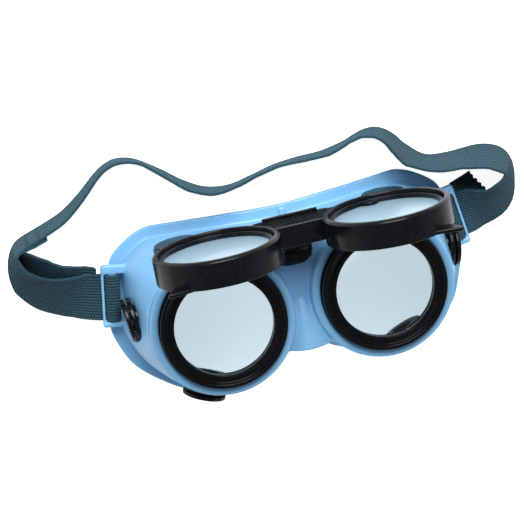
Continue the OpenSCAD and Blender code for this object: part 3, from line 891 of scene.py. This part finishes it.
def lug():
    """The right-hand strap lug: two arms, a flat bar and a thin keeper bar."""
    out = KEEPER_U + KEEPER_W
    end = LUG_HALF + BAR_END
    bar = block("bar", (-BAR_W / 2, -end, -BAR_T / 2), (BAR_W / 2, end, BAR_T / 2))
    keeper = block("keeper", (KEEPER_U, -end, -BAR_T / 2), (out, end, BAR_T / 2))
    top_arm = block("arm", (-ARM_ROOT, LUG_HALF, -ARM_HALF_T), (out, LUG_HALF + ARM_TOP_W, ARM_HALF_T))
    low_arm = block("arm", (-ARM_ROOT, -LUG_HALF - ARM_LOW_W, -ARM_HALF_T), (out, -LUG_HALF, ARM_HALF_T))
    for part, rounding in ((bar, 0.9), (keeper, 0.4), (top_arm, 0.8), (low_arm, 0.8)):
        rounded(part, rounding * MM)
    piece = combined(bar, [keeper, top_arm, low_arm])
    return settled(piece, placed(LUG_PLACE) @ turned(LUG_TURN, "Z"))


def hood(radius, share):
    """The round form over the nose, widening towards its lower end, for a share of its length."""
    line = [
        (radius * (share * i / HOOD_POINTS) ** HOOD_POWER, HOOD_LENGTH * share * i / HOOD_POINTS)
        for i in range(HOOD_POINTS + 1)]
    form = spun("hood", line + [(0, line[-1][1])], steps=64)
    return settled(form, placed((0, HOOD_Y, FRONT_H - HOOD_SINK)) @ turned(90, "X"))


def above(obj, z):
    """The part of an object over a height: it is cut by a block that is bigger than the hood."""
    return cut(obj, [block("below", (-40, -60, z - 60), (40, 40, z))])


def peg():
    """The small round peg that points up from the brow."""
    obj = spun("peg", softened(square(0, PEG_R, 0, PEG_LENGTH), 0.8), steps=48)
    return settled(obj, placed(PEG_PLACE) @ turned(-90, "X"))


def added_forms():
    """What is joined to the shell: the cups, the lugs, the peg and the nose hood."""
    cup = spun("cup", softened(square(RING_R + FIT_GAP, CUP_R, FRONT_H - WALL / 2, CUP_TOP), 1.6))
    right = lug()
    return at_cups(cup) + [right, twin(right, "lug", FLIP), peg(), above(hood(NOSE_R, 1), FRONT_H - WALL / 2)]


def cut_forms():
    """What is cut from the shell: the hood's inside, the vents' seats and the holes behind the lenses."""
    nose = above(hood(NOSE_R - WALL, HOOD_INNER_SHARE), FRONT_H - WALL - 0.5)
    seat_r = VENT_R + SEAT_GAP
    bore_r = STEM_R + STEM_GAP
    vent = spun("vent", [
        (0, -BOSS_T - 8), (SEAT_LIP_R, -BOSS_T - 8), (SEAT_LIP_R, -BOSS_T), (bore_r, -BOSS_T), (bore_r, 0),
        (seat_r, 0), (seat_r, 14), (0, 14)], steps=96)
    hole = spun("hole", square(0, LENS_R + 1.4, FRONT_H - 6, FRONT_H + 1))
    return [nose, at_vents(vent)] + at_cups(hole)


def mask():
    """The soft one-piece mask with its flange, cups, nose hood, peg and lugs."""
    shell = combined(hollow_shell(), added_forms())
    shell = cut(shell, cut_forms())
    grain = sizes().grain * 1
    with_modifier(shell, "REMESH", mode="VOXEL", voxel_size=grain, use_smooth_shade=True)
    with_modifier(shell, "SMOOTH", factor=0.5, iterations=5)
    triangles = len(shell.data.polygons) * 2
    limit = TRIANGLES
    if triangles > limit:
        with_modifier(shell, "DECIMATE", ratio=limit / triangles)
    smooth(shell, 60)
    finished(shell, "soft_mask", "mask", "soft_shell", "mask_body")


# Rings and lenses


def screw_rings():
    """Black screw rings with an outer bead, a groove and an inner lip over the lens."""
    bead_r = RING_R - 2
    groove_r = RING_R - 2.6
    lip_r = LENS_R + 0.9
    thread_r = LENS_R + 1.3
    lens_r = LENS_R + FIT_GAP
    skirt = FRONT_H + 0.2
    groove = RING_TOP - 1.3
    lip = RING_TOP - 0.5
    over_lens = RING_TOP - 3.5
    thread_top = RING_TOP - 6.7
    ring = spun("ring", softened([
        (thread_r, skirt), (RING_R, skirt), (RING_R, RING_TOP), (bead_r, RING_TOP), (groove_r, groove),
        (lip_r, groove), (lip_r - 0.2, lip), (WINDOW_R + 0.1, lip), (WINDOW_R, over_lens),
        (lens_r, over_lens), (lens_r, thread_top), (thread_r, thread_top)], 0.6))
    smooth(ring, 40)
    for (name, _), obj in zip(SIDES, at_cups(ring)):
        finished(obj, f"{name}_screw_ring", "mask", "black_plastic", f"{name}_retaining_ring")


def lens_holders():
    """Flanged sleeves behind the cups, with bores that widen towards the face."""
    low, high = span("right_lens_holder")
    flange_r = (high.x - low.x) / 2
    flange_top = low.z + 2
    sleeve_r = LENS_R + 1.2
    holder = spun("holder", softened([
        (flange_r - 2.2, low.z), (flange_r, low.z), (flange_r, flange_top), (sleeve_r, flange_top),
        (sleeve_r, high.z), (LENS_R - 1, high.z), (LENS_R - 0.1, high.z - 1),
        (LENS_R + 0.2, low.z + 2.4)], 0.4))
    smooth(holder, 40)
    for (name, _), obj in zip(SIDES, at_cups(holder)):
        finished(obj, f"{name}_sleeve", "mask", "black_plastic", f"{name}_lens_holder")


def lens(name, low, high):
    """A flat round lens with a finely bevelled edge."""
    return smooth(spun(name, softened(square(0, LENS_R, low, high), 0.35, 2)), 30)


def lenses():
    """The clear lenses in the cups and the dark ones in the raised frame."""
    clear = lens("clear", LENS_LOW.z, LENS_HIGH.z)
    dark = lens("dark", DARK_Z, DARK_Z + DARK_T)
    for (name, _), clear_one, dark_one in zip(SIDES, at_cups(clear), at_cups(dark)):
        finished(clear_one, f"{name}_clear_glass", "mask", "clear_lens", f"{name}_clear_lens")
        finished(settled(dark_one, OPEN), f"{name}_dark_glass", "flip", "tinted_lens", f"{name}_dark_lens")


# The flip-up frame, shaped closed and then opened


def on_pin(name, start, end, radius):
    """A cylinder about the pin's axis, from x to x, in millimetres."""
    return rod(name, (start, PIN.y, PIN.z), (end, PIN.y, PIN.z), radius)


def pin_hole():
    return on_pin("pin_hole", -PIN_BORE_HALF, PIN_BORE_HALF, PIN_BORE_R)


def flip_walls():
    """The frame's two deep rings, each with a ledge that its dark lens sits on."""
    return at_cups(spun("wall", softened([
        (FLIP_WALL_R, FLIP_Z), (FLIP_R, FLIP_Z), (FLIP_R, FLIP_TOP - FLIP_CHAMFER),
        (FLIP_R - FLIP_CHAMFER, FLIP_TOP), (FLIP_WALL_R + 0.3, FLIP_TOP),
        (FLIP_WALL_R, FLIP_TOP - 0.5), (FLIP_WALL_R, SEAT_Z), (SEAT_R, SEAT_Z),
        (SEAT_R, SEAT_Z - SEAT_T), (FLIP_WALL_R, SEAT_Z - SEAT_T)], 0.45)))


def lift_tab():
    """The right-hand pointed tab, aslant from the low side of its ring."""
    root = FLIP_R - TAB_ROOT
    tip = FLIP_R + TAB_REACH
    tab = extruded("tab", [(root, -7), (tip, -1.2), (tip, 0.6), (root, 5)], FLIP_Z, FLIP_Z + TAB_T)
    return settled(rounded(tab), cup_place(1) @ turned(-45, "Z"))


def bridge():
    """The ribbed plate between the rings, cut clear of their bores."""
    corners = [(15, BRIDGE_HIGH), (27, 26), (20, BRIDGE_LOW)]
    outline = [(-15, BRIDGE_HIGH)] + corners + [(-20, BRIDGE_LOW), (-27, 26)]
    plate = rounded(extruded("bridge", outline, FLIP_Z + 0.1, BRIDGE_TOP), 0.6 * MM)
    bore = spun("bore", square(0, FLIP_WALL_R + 1, FLIP_Z - 1, FLIP_TOP + 2))
    grooves = []
    for i in range(GROOVES):
        y = BRIDGE_LOW + GROOVE_START + i * GROOVE_PITCH
        groove = block("groove", (-19, y, BRIDGE_TOP - GROOVE_DEPTH), (19, y + GROOVE_W, BRIDGE_TOP + 1))
        grooves.append(rounded(groove, 0.3 * MM))
    return cut(plate, at_cups(bore) + grooves)


def flip_frame():
    """Two deep rings, a ribbed bridge, the knuckle and two pointed lift tabs, in one moulding."""
    left, right = flip_walls()
    tab = lift_tab()
    lip = block("lip", (-13, BRIDGE_HIGH - 1.5, BRIDGE_TOP - 0.5), (13, BRIDGE_HIGH, BRIDGE_TOP + 1.3))
    knuckle = on_pin("knuckle", -KNUCKLE_HALF, KNUCKLE_HALF, KNUCKLE_R)
    web = block("web", (-KNUCKLE_HALF, BRIDGE_HIGH - 1, PIN.z - 1.4), (KNUCKLE_HALF, PIN.y, PIN.z + 2.6))
    rounded(lip, 0.4 * MM)
    rounded(knuckle, 0.3 * MM)
    piece = combined(left, [right, bridge(), lip, knuckle, web, twin(tab, "tab", FLIP), tab])
    smooth(cut(piece, [pin_hole()]), 32)
    finished(settled(piece, OPEN), "flip_up_frame", "flip", "black_plastic", "flip_frame")


def flip_retainers():
    """Push-in rings that hold the dark lenses, each with one finger tab."""
    low = DARK_Z + DARK_T
    inner = LENS_R - 0.9
    outer = FLIP_WALL_R - 0.1
    for name, side in SIDES:
        ring = spun("retainer", softened(square(inner, outer, low, low + 2.2), 0.5))
        pad = spun("pad", softened(square(0, 4.4, low, low + 1.8), 0.5), steps=64)
        angle = math.radians(PAD_ANGLES[name])
        settled(pad, Matrix.Translation(Vector((math.cos(angle), math.sin(angle), 0)) * (inner + 1) * MM))
        rim = spun("rim", square(outer - 0.1, outer + 9, low - 1, low + 4))
        combined(ring, [cut(pad, [rim])])
        smooth(ring, 40)
        settled(ring, OPEN @ cup_place(side))
        finished(ring, f"{name}_push_ring", "flip", "black_plastic", f"{name}_flip_retainer")


# Bracket and vents

PLATE_HALF = 9.5
PLATE_LOW_Y = 19.5
PLATE_CORNER = 7
PLATE_T = 3
EAR_IN = 5.1
EAR_OUT = 7.9
SCREW_X = 5.6
SCREW_Y = 27.8
SCREW_HOLE_R = 1.3


def bracket_ear(side):
    """A round ear on a square foot, rounded along its edges."""
    start, end = sorted((side * EAR_IN, side * EAR_OUT))
    ear = on_pin("ear", start, end, KNUCKLE_R)
    foot = block("foot", (start, PIN.y - KNUCKLE_R + 0.4, FRONT_H + 1), (end, PIN.y + KNUCKLE_R, PIN.z))
    return rounded(combined(ear, [foot]), 0.3 * MM)


def bracket():
    """Black bracket with a raised block, a stub and two ears for the pin."""
    top_y = PIN.y + KNUCKLE_R
    centre_x = PLATE_CORNER - PLATE_HALF
    centre_y = PLATE_LOW_Y + PLATE_CORNER
    arc = [math.radians(a) for a in range(180, 271, 10)]
    left = [(centre_x + PLATE_CORNER * math.cos(a), centre_y + PLATE_CORNER * math.sin(a)) for a in arc]
    outline = left + [(-x, y) for x, y in reversed(left)] + [(PLATE_HALF, top_y), (-PLATE_HALF, top_y)]
    base = rounded(extruded("base", outline, FRONT_H, FRONT_H + PLATE_T))
    raised = rounded(block("raised", (-8, 21, FRONT_H + 1), (2, 25.5, PIN.z - 4.6)))
    stub = rounded(block("stub", (3.5, 22, FRONT_H + 1), (8.5, 25.2, PIN.z - 6.6)), 0.3 * MM)
    piece = combined(base, [raised, stub, bracket_ear(-1), bracket_ear(1)])
    screw_holes = [
        rod("screw_hole", (x, SCREW_Y, FRONT_H - 1), (x, SCREW_Y, FRONT_H + PLATE_T + 1), SCREW_HOLE_R)
        for x in (-SCREW_X, SCREW_X)]
    smooth(cut(piece, [pin_hole()] + screw_holes), 32)
    finished(piece, "bracket", "mask", "black_plastic", "hinge_bracket")


def vent_base(reach):
    """The inner disc with its stem, which reaches a distance past the boss and ends in a lip."""
    end = -BOSS_T - reach
    return smooth(spun("base", softened([
        (STEM_BORE_R, end - STEM_LIP_T), (STEM_LIP_R, end - STEM_LIP_T), (STEM_LIP_R, end), (STEM_R, end),
        (STEM_R, 0), (VENT_R, 0), (VENT_R, DISC_T), (STEM_BORE_R, DISC_T)], 0.5)), 40)


def vent_cap():
    """The outer disc on four posts."""
    low = DISC_T + VENT_GAP
    disc = spun("cap", softened(square(0, VENT_R, low, low + DISC_T), 0.55))
    posts = []
    for turn in (45, 135, 225, 315):
        x = POST_RING_R * math.cos(math.radians(turn))
        y = POST_RING_R * math.sin(math.radians(turn))
        posts.append(rod("post", (x, y, DISC_T), (x, y, low + 0.3), POST_R, 24))
    return smooth(combined(disc, posts), 40)


def vents():
    """Six two-disc vents: a base with its stem through the shell and a cap on four posts."""
    for side, _ in SIDES:
        for kind in VENTS:
            base = vent_base(LONG_STEM_REACH.get((side, kind), STEM_REACH))
            for part, obj in (("base", base), ("cap", vent_cap())):
                settled(obj, vent_place(side, kind))
                node = f"{side}_{kind}_vent_{part}"
                finished(obj, f"{node}_shape", "mask", "black_plastic", node)


# The strap. Each row holds a point of the lower edge and the vector across the strap to the upper edge.

LEFT_END = (
    ((-109.5, 54.5, 0), (0, -0.4, 25)), ((-116.1, 52.6, 0), (0.4, -0.6, 25)),
    ((-121.3, 49.8, 0), (0.5, 1, 25)), ((-125, 45.2, 0), (2.9, 5.5, 24.2)),
    ((-126, 39, 0), (7.4, 9.4, 22)), ((-124, 31, 0), (12.5, 12, 18)),
    ((-119.5, 25, 0), (14.2, 13.2, 15.8)), ((-113, 19, 0), (13, 17, 13)),
    ((-104.5, 13, 0), (10.2, 21, 9)), ((-97, 9.3, 2.4), (7, 22.3, 3.4)),
)
LEFT_FRONT = (
    ((-101, 7.6, 2.4), (6.3, 22.6, 6.5)), ((-105.2, 9.1, 0.4), (7.3, 21.3, 10.4)),
    ((-110.8, 11.3, 0), (8.8, 19.8, 12.5)), ((-121.1, 17.2, 0), (11.9, 15.3, 15.7)),
    ((-128.6, 26, 0), (16.3, 7.5, 17.4)), ((-130.2, 31.6, 0), (17.2, 2.5, 18)),
    ((-130.3, 37.5, 0), (13.9, -1.5, 20.7)), ((-129, 43.2, 0), (7.2, -2.7, 23.8)),
    ((-126.3, 48.3, 0), (1, 0, 25)),
)
BACK_RUN = (
    ((-122.1, 52, 0), (0.5, -0.7, 25)), ((-111, 55.9, 0), (0.1, -0.4, 25)),
    ((-99.9, 60.2, 0), (0, 0, 25)), ((-90, 66.8, 0), (-0.5, 0.7, 25)),
    ((-80.8, 74.5, 0), (-1, 1.4, 24.9)), ((-75.8, 77.7, 0), (-1.1, 2, 24.9)),
    ((-70.5, 79.4, 0), (-0.4, 2.2, 24.9)), ((-64.9, 78.9, 0), (0.5, 2.1, 24.9)),
    ((-59.4, 76.7, 0), (0.8, 1.6, 24.9)), ((-49.6, 69.9, 0), (0, 0.2, 25)),
    ((-40.3, 62.4, 0), (-0.3, -0.4, 25)), ((-30, 56.6, 0), (0.2, 0.8, 25)),
    ((-18.4, 54.9, 0), (-0.2, 3.5, 24.8)), ((-6.7, 57.1, 0), (-1, 4.2, 24.6)),
    ((5, 59.7, 0), (-0.6, 3.9, 24.7)), ((17, 60.8, 0), (-0.1, 2.6, 24.9)),
    ((28.9, 61.1, 0), (-0.2, 2.6, 24.9)), ((40.6, 63.4, 0), (-1.4, 4, 24.6)),
    ((46.2, 65.4, 0), (-1.2, 3.2, 24.8)), ((51.8, 66.9, 0), (-0.2, 0, 25)),
    ((57.4, 66.7, 0), (-1.6, -3.8, 24.6)), ((62.4, 64.2, 0), (-4.4, -5.6, 24)),
    ((66.6, 60.2, 0), (-6, -5.8, 23.6)), ((70.3, 55.5, 0), (-6.2, -5.5, 23.6)),
    ((79.1, 48.1, 0), (-1.8, -3.8, 24.6)), ((90.5, 46.6, 0), (0.1, -3.8, 24.7)),
    ((102.5, 47.1, 0), (-0.4, -7, 24)), ((108.4, 46.7, 0), (-1.9, -8.8, 23.3)),
    ((114, 45, 0), (-4.6, -9, 22.9)), ((118.6, 41.8, 0), (-7.6, -6.8, 22.8)),
)
RIGHT_FRONT = (
    ((121.2, 37, 0), (-9.9, -3.1, 22.7)), ((122, 31.3, 0), (-13, 0, 21.4)),
    ((121.4, 25.3, 0), (-16.6, 3.2, 18.4)), ((120.2, 19.5, 0), (-17.2, 8, 16.3)),
    ((117.6, 14.5, 0), (-14.6, 12.6, 15.9)), ((113.5, 10.8, 0), (-10.5, 16.4, 15.7)),
    ((108.1, 8.5, 0), (-6.6, 18.9, 15)), ((102.3, 7.1, 0.6), (-4.2, 21, 12.2)),
    ((98, 6, 2.6), (-3.6, 22.8, 6.8)),
)
RIGHT_END = (
    ((94.4, 6.4, 2.9), (-6.6, 25.6, 0.6)), ((99, 7.8, 1.3), (-6.5, 25.4, 0.6)),
    ((104, 9.6, 0), (-6.2, 24.8, 0)), ((114.3, 13.4, 0), (-15.3, 21.6, 0)),
)
OVER = BAR_T / 2 + FIT_GAP + STRAP_T / 2
EDGE_U = BAR_W / 2 - BAR_T / 2
SLANT = OVER * 0.71
# Rows in a lug as place across the bar and height over it: rear layer, turn, front layer
LUG_ROWS = (
    (EDGE_U + 8.4, -4.9), (EDGE_U + 3.6, -OVER - 1.7), (EDGE_U + 1.2, -OVER - 1.1), (-EDGE_U, -OVER),
    (-EDGE_U - SLANT, -SLANT), (-EDGE_U - OVER, 0), (-EDGE_U - SLANT, SLANT), (-EDGE_U, OVER),
    (EDGE_U, OVER), (EDGE_U + SLANT, SLANT), (EDGE_U + OVER, 0), (EDGE_U + OVER + 0.2, -OVER * 0.62),
    (EDGE_U + OVER + 1.1, -OVER), (EDGE_U + OVER + 4, -OVER - 0.2))
ROW_STEPS = 16
ALONG = 340
ACROSS = 96
CUT_TEETH = 9
CUT_ROWS = 3
CUT_DEPTH = 1.1


def lug_strap_rows(side):
    """The strap's way through a lug, squeezed a little by the arms."""
    c, n = math.cos(math.radians(LUG_TURN)), math.sin(math.radians(LUG_TURN))
    width = STRAP_W * SQUEEZE
    x, y, z = LUG_PLACE
    lift = STRAP_T / 2 + FLOOR_GAP
    return [
        ((side * (x + u * c + n * width / 2), y + u * n - c * width / 2, z + h - lift),
         (-side * n * width, c * width, 0)) for u, h in LUG_ROWS]


def lifted(low, lean):
    """A lower edge point, lifted so that the strap's face clears the floor, however far it leans."""
    place = low.copy()
    place.z += STRAP_T / 2 * lean.xy.length / lean.length + FLOOR_GAP
    return place


def strap_course():
    """Evenly spaced (lower edge point, vector across) along the strap, and its length, in millimetres."""
    rows = [(Vector(p), Vector(v)) for p, v in (
        *LEFT_END, *lug_strap_rows(-1), *LEFT_FRONT, *BACK_RUN, *RIGHT_FRONT,
        *lug_strap_rows(1)[:0:-1], *RIGHT_END)]
    last = len(rows) - 1
    fine = []
    for i in range(last):
        a, b, c, d = (rows[min(max(i + k, 0), last)] for k in (-1, 0, 1, 2))
        for k in range(ROW_STEPS):
            t = k / ROW_STEPS
            lean = b[1] * (1 - t) + c[1] * t
            fine.append((lifted(cubic(a[0], b[0], c[0], d[0], t), lean), lean))
    low, lean = rows[-1]
    fine.append((lifted(low, lean), lean))
    travelled = [0]
    for (p, v), (q, w) in zip(fine, fine[1:]):
        travelled.append(travelled[-1] + (q + w / 2 - p - v / 2).length)
    course, i = [], 0
    for k in range(ALONG):
        goal = travelled[-1] * k / (ALONG - 1)
        while i < len(fine) - 2 and travelled[i + 1] < goal:
            i += 1
        t = (goal - travelled[i]) / (travelled[i + 1] - travelled[i])
        course.append((fine[i][0].lerp(fine[i + 1][0], t), fine[i][1].lerp(fine[i + 1][1], t)))
    return course, travelled[-1]


def strap_place(course, i, j):
    """The place of a grid point, i along and j across the strap. The last rows are cut to teeth."""
    low, lean = course[i]
    share = j / (ACROSS - 1)
    place = low + lean * share
    into_cut = i - ALONG + CUT_ROWS + 1
    if into_cut <= 0:
        return place
    travel = (course[-1][0] - course[-CUT_ROWS - 1][0]).normalized()
    tooth = abs((share * CUT_TEETH) % 1 - 0.5) * 2 - 0.5
    return place + travel * tooth * into_cut / CUT_ROWS * CUT_DEPTH


def ribbed(obj):
    """Raises the ribs: each point moves out by its place across the strap, which its UV holds."""
    mesh = obj.data
    across = {}
    for loop in mesh.loops:
        across[loop.vertex_index] = mesh.uv_layers["weave"].data[loop.index].uv[1]
    normals = [v.normal.copy() for v in mesh.vertices]
    for vertex in mesh.vertices:
        crown = abs(math.sin(math.pi * sizes().strap_ribs * across[vertex.index]))
        vertex.co += normals[vertex.index] * sizes().strap_rib_height * crown


def strap():
    """Flat elastic webbing with ribs along it, round both lugs, with a pinked cut at its free end."""
    course, length = strap_course()
    obj = begin(bpy.ops.mesh.primitive_grid_add, x_subdivisions=ALONG - 1, y_subdivisions=ACROSS - 1)
    mesh = obj.data
    for vertex in mesh.vertices:
        vertex.co = strap_place(course, vertex.index % ALONG, vertex.index // ALONG) * MM
    layer = mesh.uv_layers.active or mesh.uv_layers.new()
    layer.name = "weave"
    for loop in mesh.loops:
        i, j = loop.vertex_index % ALONG, loop.vertex_index // ALONG
        layer.data[loop.index].uv = (length * MM * i / (ALONG - 1), j / (ACROSS - 1))
    with_modifier(obj, "SOLIDIFY", thickness=(STRAP_T - RIB_ROOM) * MM, offset=0)
    ribbed(obj)
    edited(obj)
    closed_edit(obj)
    smooth(obj, 50)
    finished(obj, "elastic_strap", "mask", "webbing", "head_strap")


STITCH_BARS = ((-112.6, 54.5), (-118.4, 52.4))
STITCH_TURN = 21
STITCHES = 15
STITCH_SIDE = 0.35
STITCH_DEPTH = 1.75
STITCH_MARGIN = 2.5
THREAD_R = 0.22
THREAD_SIDES = 10


def zigzag():
    """The thread's path: through the strap and back, to the left and to the right by turns."""
    path = []
    for k in range(STITCHES):
        z = STRAP_W / 2 + 0.4 + (STRAP_W - 2 * STITCH_MARGIN) * (k / (STITCHES - 1) - 0.5)
        way = 1 if k % 2 else -1
        path += [Vector((way * STITCH_SIDE, y, z)) for y in (-way * STITCH_DEPTH, way * STITCH_DEPTH)]
    return path


def thread_rings(path):
    """A ring of points round each point of a path, square to the way it goes."""
    rings = []
    for k, p in enumerate(path):
        travel = (path[min(k + 1, len(path) - 1)] - path[max(k - 1, 0)]).normalized()
        across = travel.cross(Vector((1, 0, 0))).normalized()
        other = travel.cross(across).normalized()
        rings.append([
            p + (across * math.cos(t) + other * math.sin(t)) * THREAD_R
            for t in [math.tau * n / THREAD_SIDES for n in range(THREAD_SIDES)]])
    return rings


def stitching():
    """Two bars of zigzag thread that close the strap's loop at the left."""
    rings = thread_rings(zigzag())
    bars = [
        settled(lofted("thread", rings), placed((x, y, 0)) @ turned(STITCH_TURN, "Z"))
        for x, y in STITCH_BARS]
    piece = smooth(joined(bars[0], bars[1:]), 50)
    finished(piece, "zigzag_stitches", "mask", "thread", "strap_stitching")


# Pieces that stay as they are in the frame

PLAIN = {
    "steel": ("bracket_backing_plate", "hinge_pin", "pin_cap"),
    "black_steel": ("bracket_screws",),
    "gasket": (
        "friction_washers", "left_lens_gasket", "right_lens_gasket", "left_flip_gasket", "right_flip_gasket"),
}


def plain_pieces():
    """Gives the CAD nodes that have no piece of their own their finish."""
    for slot, nodes in PLAIN.items():
        for node in nodes:
            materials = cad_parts[node].data.materials
            materials.clear()
            materials.append(finish(slot))


# Floor, light and camera, in metres, with the camera's lens and sensor in millimetres

FLOOR_SIZE = 6
LAMP_AIM = (0, 0, 0.03)
CAMERA_PLACE = (-0.12011, 0.23727, 0.86499)
CAMERA_AXES = (
    (0.966292, -0.191142, 0.172465), (0.22648, 0.949668, -0.216418), (-0.122418, 0.248183, 0.960947))
CAMERA_LENS = 126.59
CAMERA_SENSOR = 36


def floor():
    obj = begin(bpy.ops.mesh.primitive_plane_add, size=FLOOR_SIZE)
    edited(obj)
    bpy.ops.mesh.subdivide(number_cuts=4)
    closed_edit(obj)
    obj.name = "floor"
    obj.data.materials.append(paper_floor())


def lamp(name, place, size, power):
    """A square lamp that looks at the goggles."""
    obj = begin(bpy.ops.object.light_add, type="AREA", location=place)
    obj.name = name
    obj.data.size = size
    obj.data.energy = power
    obj.rotation_euler = (Vector(LAMP_AIM) - Vector(place)).to_track_quat("-Z", "Y").to_euler()


def sky():
    """Even light, dimmer from straight above than from the sides."""
    world = bpy.data.worlds.new("studio")
    world.use_nodes = True
    tree = world.node_tree
    background = tree.nodes["Background"]
    place = tree.nodes.new("ShaderNodeTexCoord")
    parts = tree.nodes.new("ShaderNodeSeparateXYZ")
    tree.links.new(place.outputs["Generated"], parts.inputs["Vector"])
    tree.links.new(ranged(tree, parts.outputs["Z"], 0.78, 0.24, 0.1, 0.8), background.inputs["Strength"])
    background.inputs["Color"].default_value = (0.95, 0.975, 1, 1)
    bpy.context.scene.world = world


def camera():
    """The camera that the photo's view was fitted to, from its right, up and back axes."""
    obj = begin(bpy.ops.object.camera_add)
    obj.name = "photo_camera"
    obj.matrix_world = Matrix.Translation(CAMERA_PLACE) @ Matrix(CAMERA_AXES).transposed().to_4x4()
    obj.data.lens = CAMERA_LENS
    obj.data.sensor_width = CAMERA_SENSOR
    bpy.context.scene.camera = obj


def studio():
    """The stage that the object is shown on."""
    floor()
    sky()
    lamp("key", (0.03, 0.72, 0.74), size=0.6, power=15)
    lamp("fill", (0.55, -0.75, 0.45), size=0.5, power=1.2)
    camera()
    bpy.context.scene.view_settings.view_transform = "Standard"


# Operators


class GOGGLES_OT_mask(bpy.types.Operator):
    """Builds the soft mask with its cups, lugs, nose hood and peg"""
    bl_idname = "goggles.mask"
    bl_label = "Mask"

    def execute(self, context):
        mask()
        return {"FINISHED"}


class GOGGLES_OT_rings(bpy.types.Operator):
    """Builds the two black screw rings and the sleeves that they screw on"""
    bl_idname = "goggles.rings"
    bl_label = "Screw Rings"

    def execute(self, context):
        screw_rings()
        lens_holders()
        return {"FINISHED"}


class GOGGLES_OT_lenses(bpy.types.Operator):
    """Builds the clear and the dark lenses"""
    bl_idname = "goggles.lenses"
    bl_label = "Lenses"

    def execute(self, context):
        lenses()
        return {"FINISHED"}


class GOGGLES_OT_flip_frame(bpy.types.Operator):
    """Builds the flip-up frame and its two push-in rings"""
    bl_idname = "goggles.flip_frame"
    bl_label = "Flip-up Frame"

    def execute(self, context):
        flip_frame()
        flip_retainers()
        return {"FINISHED"}


class GOGGLES_OT_bracket(bpy.types.Operator):
    """Builds the hinge bracket"""
    bl_idname = "goggles.bracket"
    bl_label = "Bracket"

    def execute(self, context):
        bracket()
        return {"FINISHED"}


class GOGGLES_OT_vents(bpy.types.Operator):
    """Builds the six vents"""
    bl_idname = "goggles.vents"
    bl_label = "Vents"

    def execute(self, context):
        vents()
        return {"FINISHED"}


class GOGGLES_OT_strap(bpy.types.Operator):
    """Builds the strap and its stitching"""
    bl_idname = "goggles.strap"
    bl_label = "Strap"

    def execute(self, context):
        strap()
        stitching()
        return {"FINISHED"}


class GOGGLES_OT_plain(bpy.types.Operator):
    """Gives the pieces that stay as they are their finish"""
    bl_idname = "goggles.plain"
    bl_label = "Plain Pieces"

    def execute(self, context):
        plain_pieces()
        return {"FINISHED"}


class GOGGLES_OT_studio(bpy.types.Operator):
    """Sets up the floor, the light and the camera"""
    bl_idname = "goggles.studio"
    bl_label = "Studio"

    def execute(self, context):
        studio()
        return {"FINISHED"}


class GOGGLES_PT_panel(bpy.types.Panel):
    """Sizes, colours and build buttons"""
    bl_label = "Flip-up Goggles"
    bl_idname = "GOGGLES_PT_panel"
    bl_space_type = "VIEW_3D"
    bl_region_type = "UI"
    bl_category = "Goggles"

    def draw(self, context):
        column = self.layout.column(align=True)
        for group in (context.scene.goggles_sizes, context.scene.goggles_colours):
            for name in group.__annotations__:
                column.prop(group, name)
        for step in STEPS:
            column.operator(step.bl_idname)


STEPS = (
    GOGGLES_OT_mask, GOGGLES_OT_rings, GOGGLES_OT_lenses, GOGGLES_OT_flip_frame, GOGGLES_OT_bracket,
    GOGGLES_OT_vents, GOGGLES_OT_strap, GOGGLES_OT_plain, GOGGLES_OT_studio)
CLASSES = (GogglesSizes, GogglesColours, *STEPS, GOGGLES_PT_panel)


def register():
    for item in CLASSES:
        bpy.utils.register_class(item)
    bpy.types.Scene.goggles_sizes = PointerProperty(type=GogglesSizes)
    bpy.types.Scene.goggles_colours = PointerProperty(type=GogglesColours)


def unregister():
    del bpy.types.Scene.goggles_colours
    del bpy.types.Scene.goggles_sizes
    for item in reversed(CLASSES):
        bpy.utils.unregister_class(item)


def main():
    register()
    for step in STEPS:
        group, name = step.bl_idname.split(".")
        getattr(getattr(bpy.ops, group), name)()


if __name__ == "__main__":
    main()
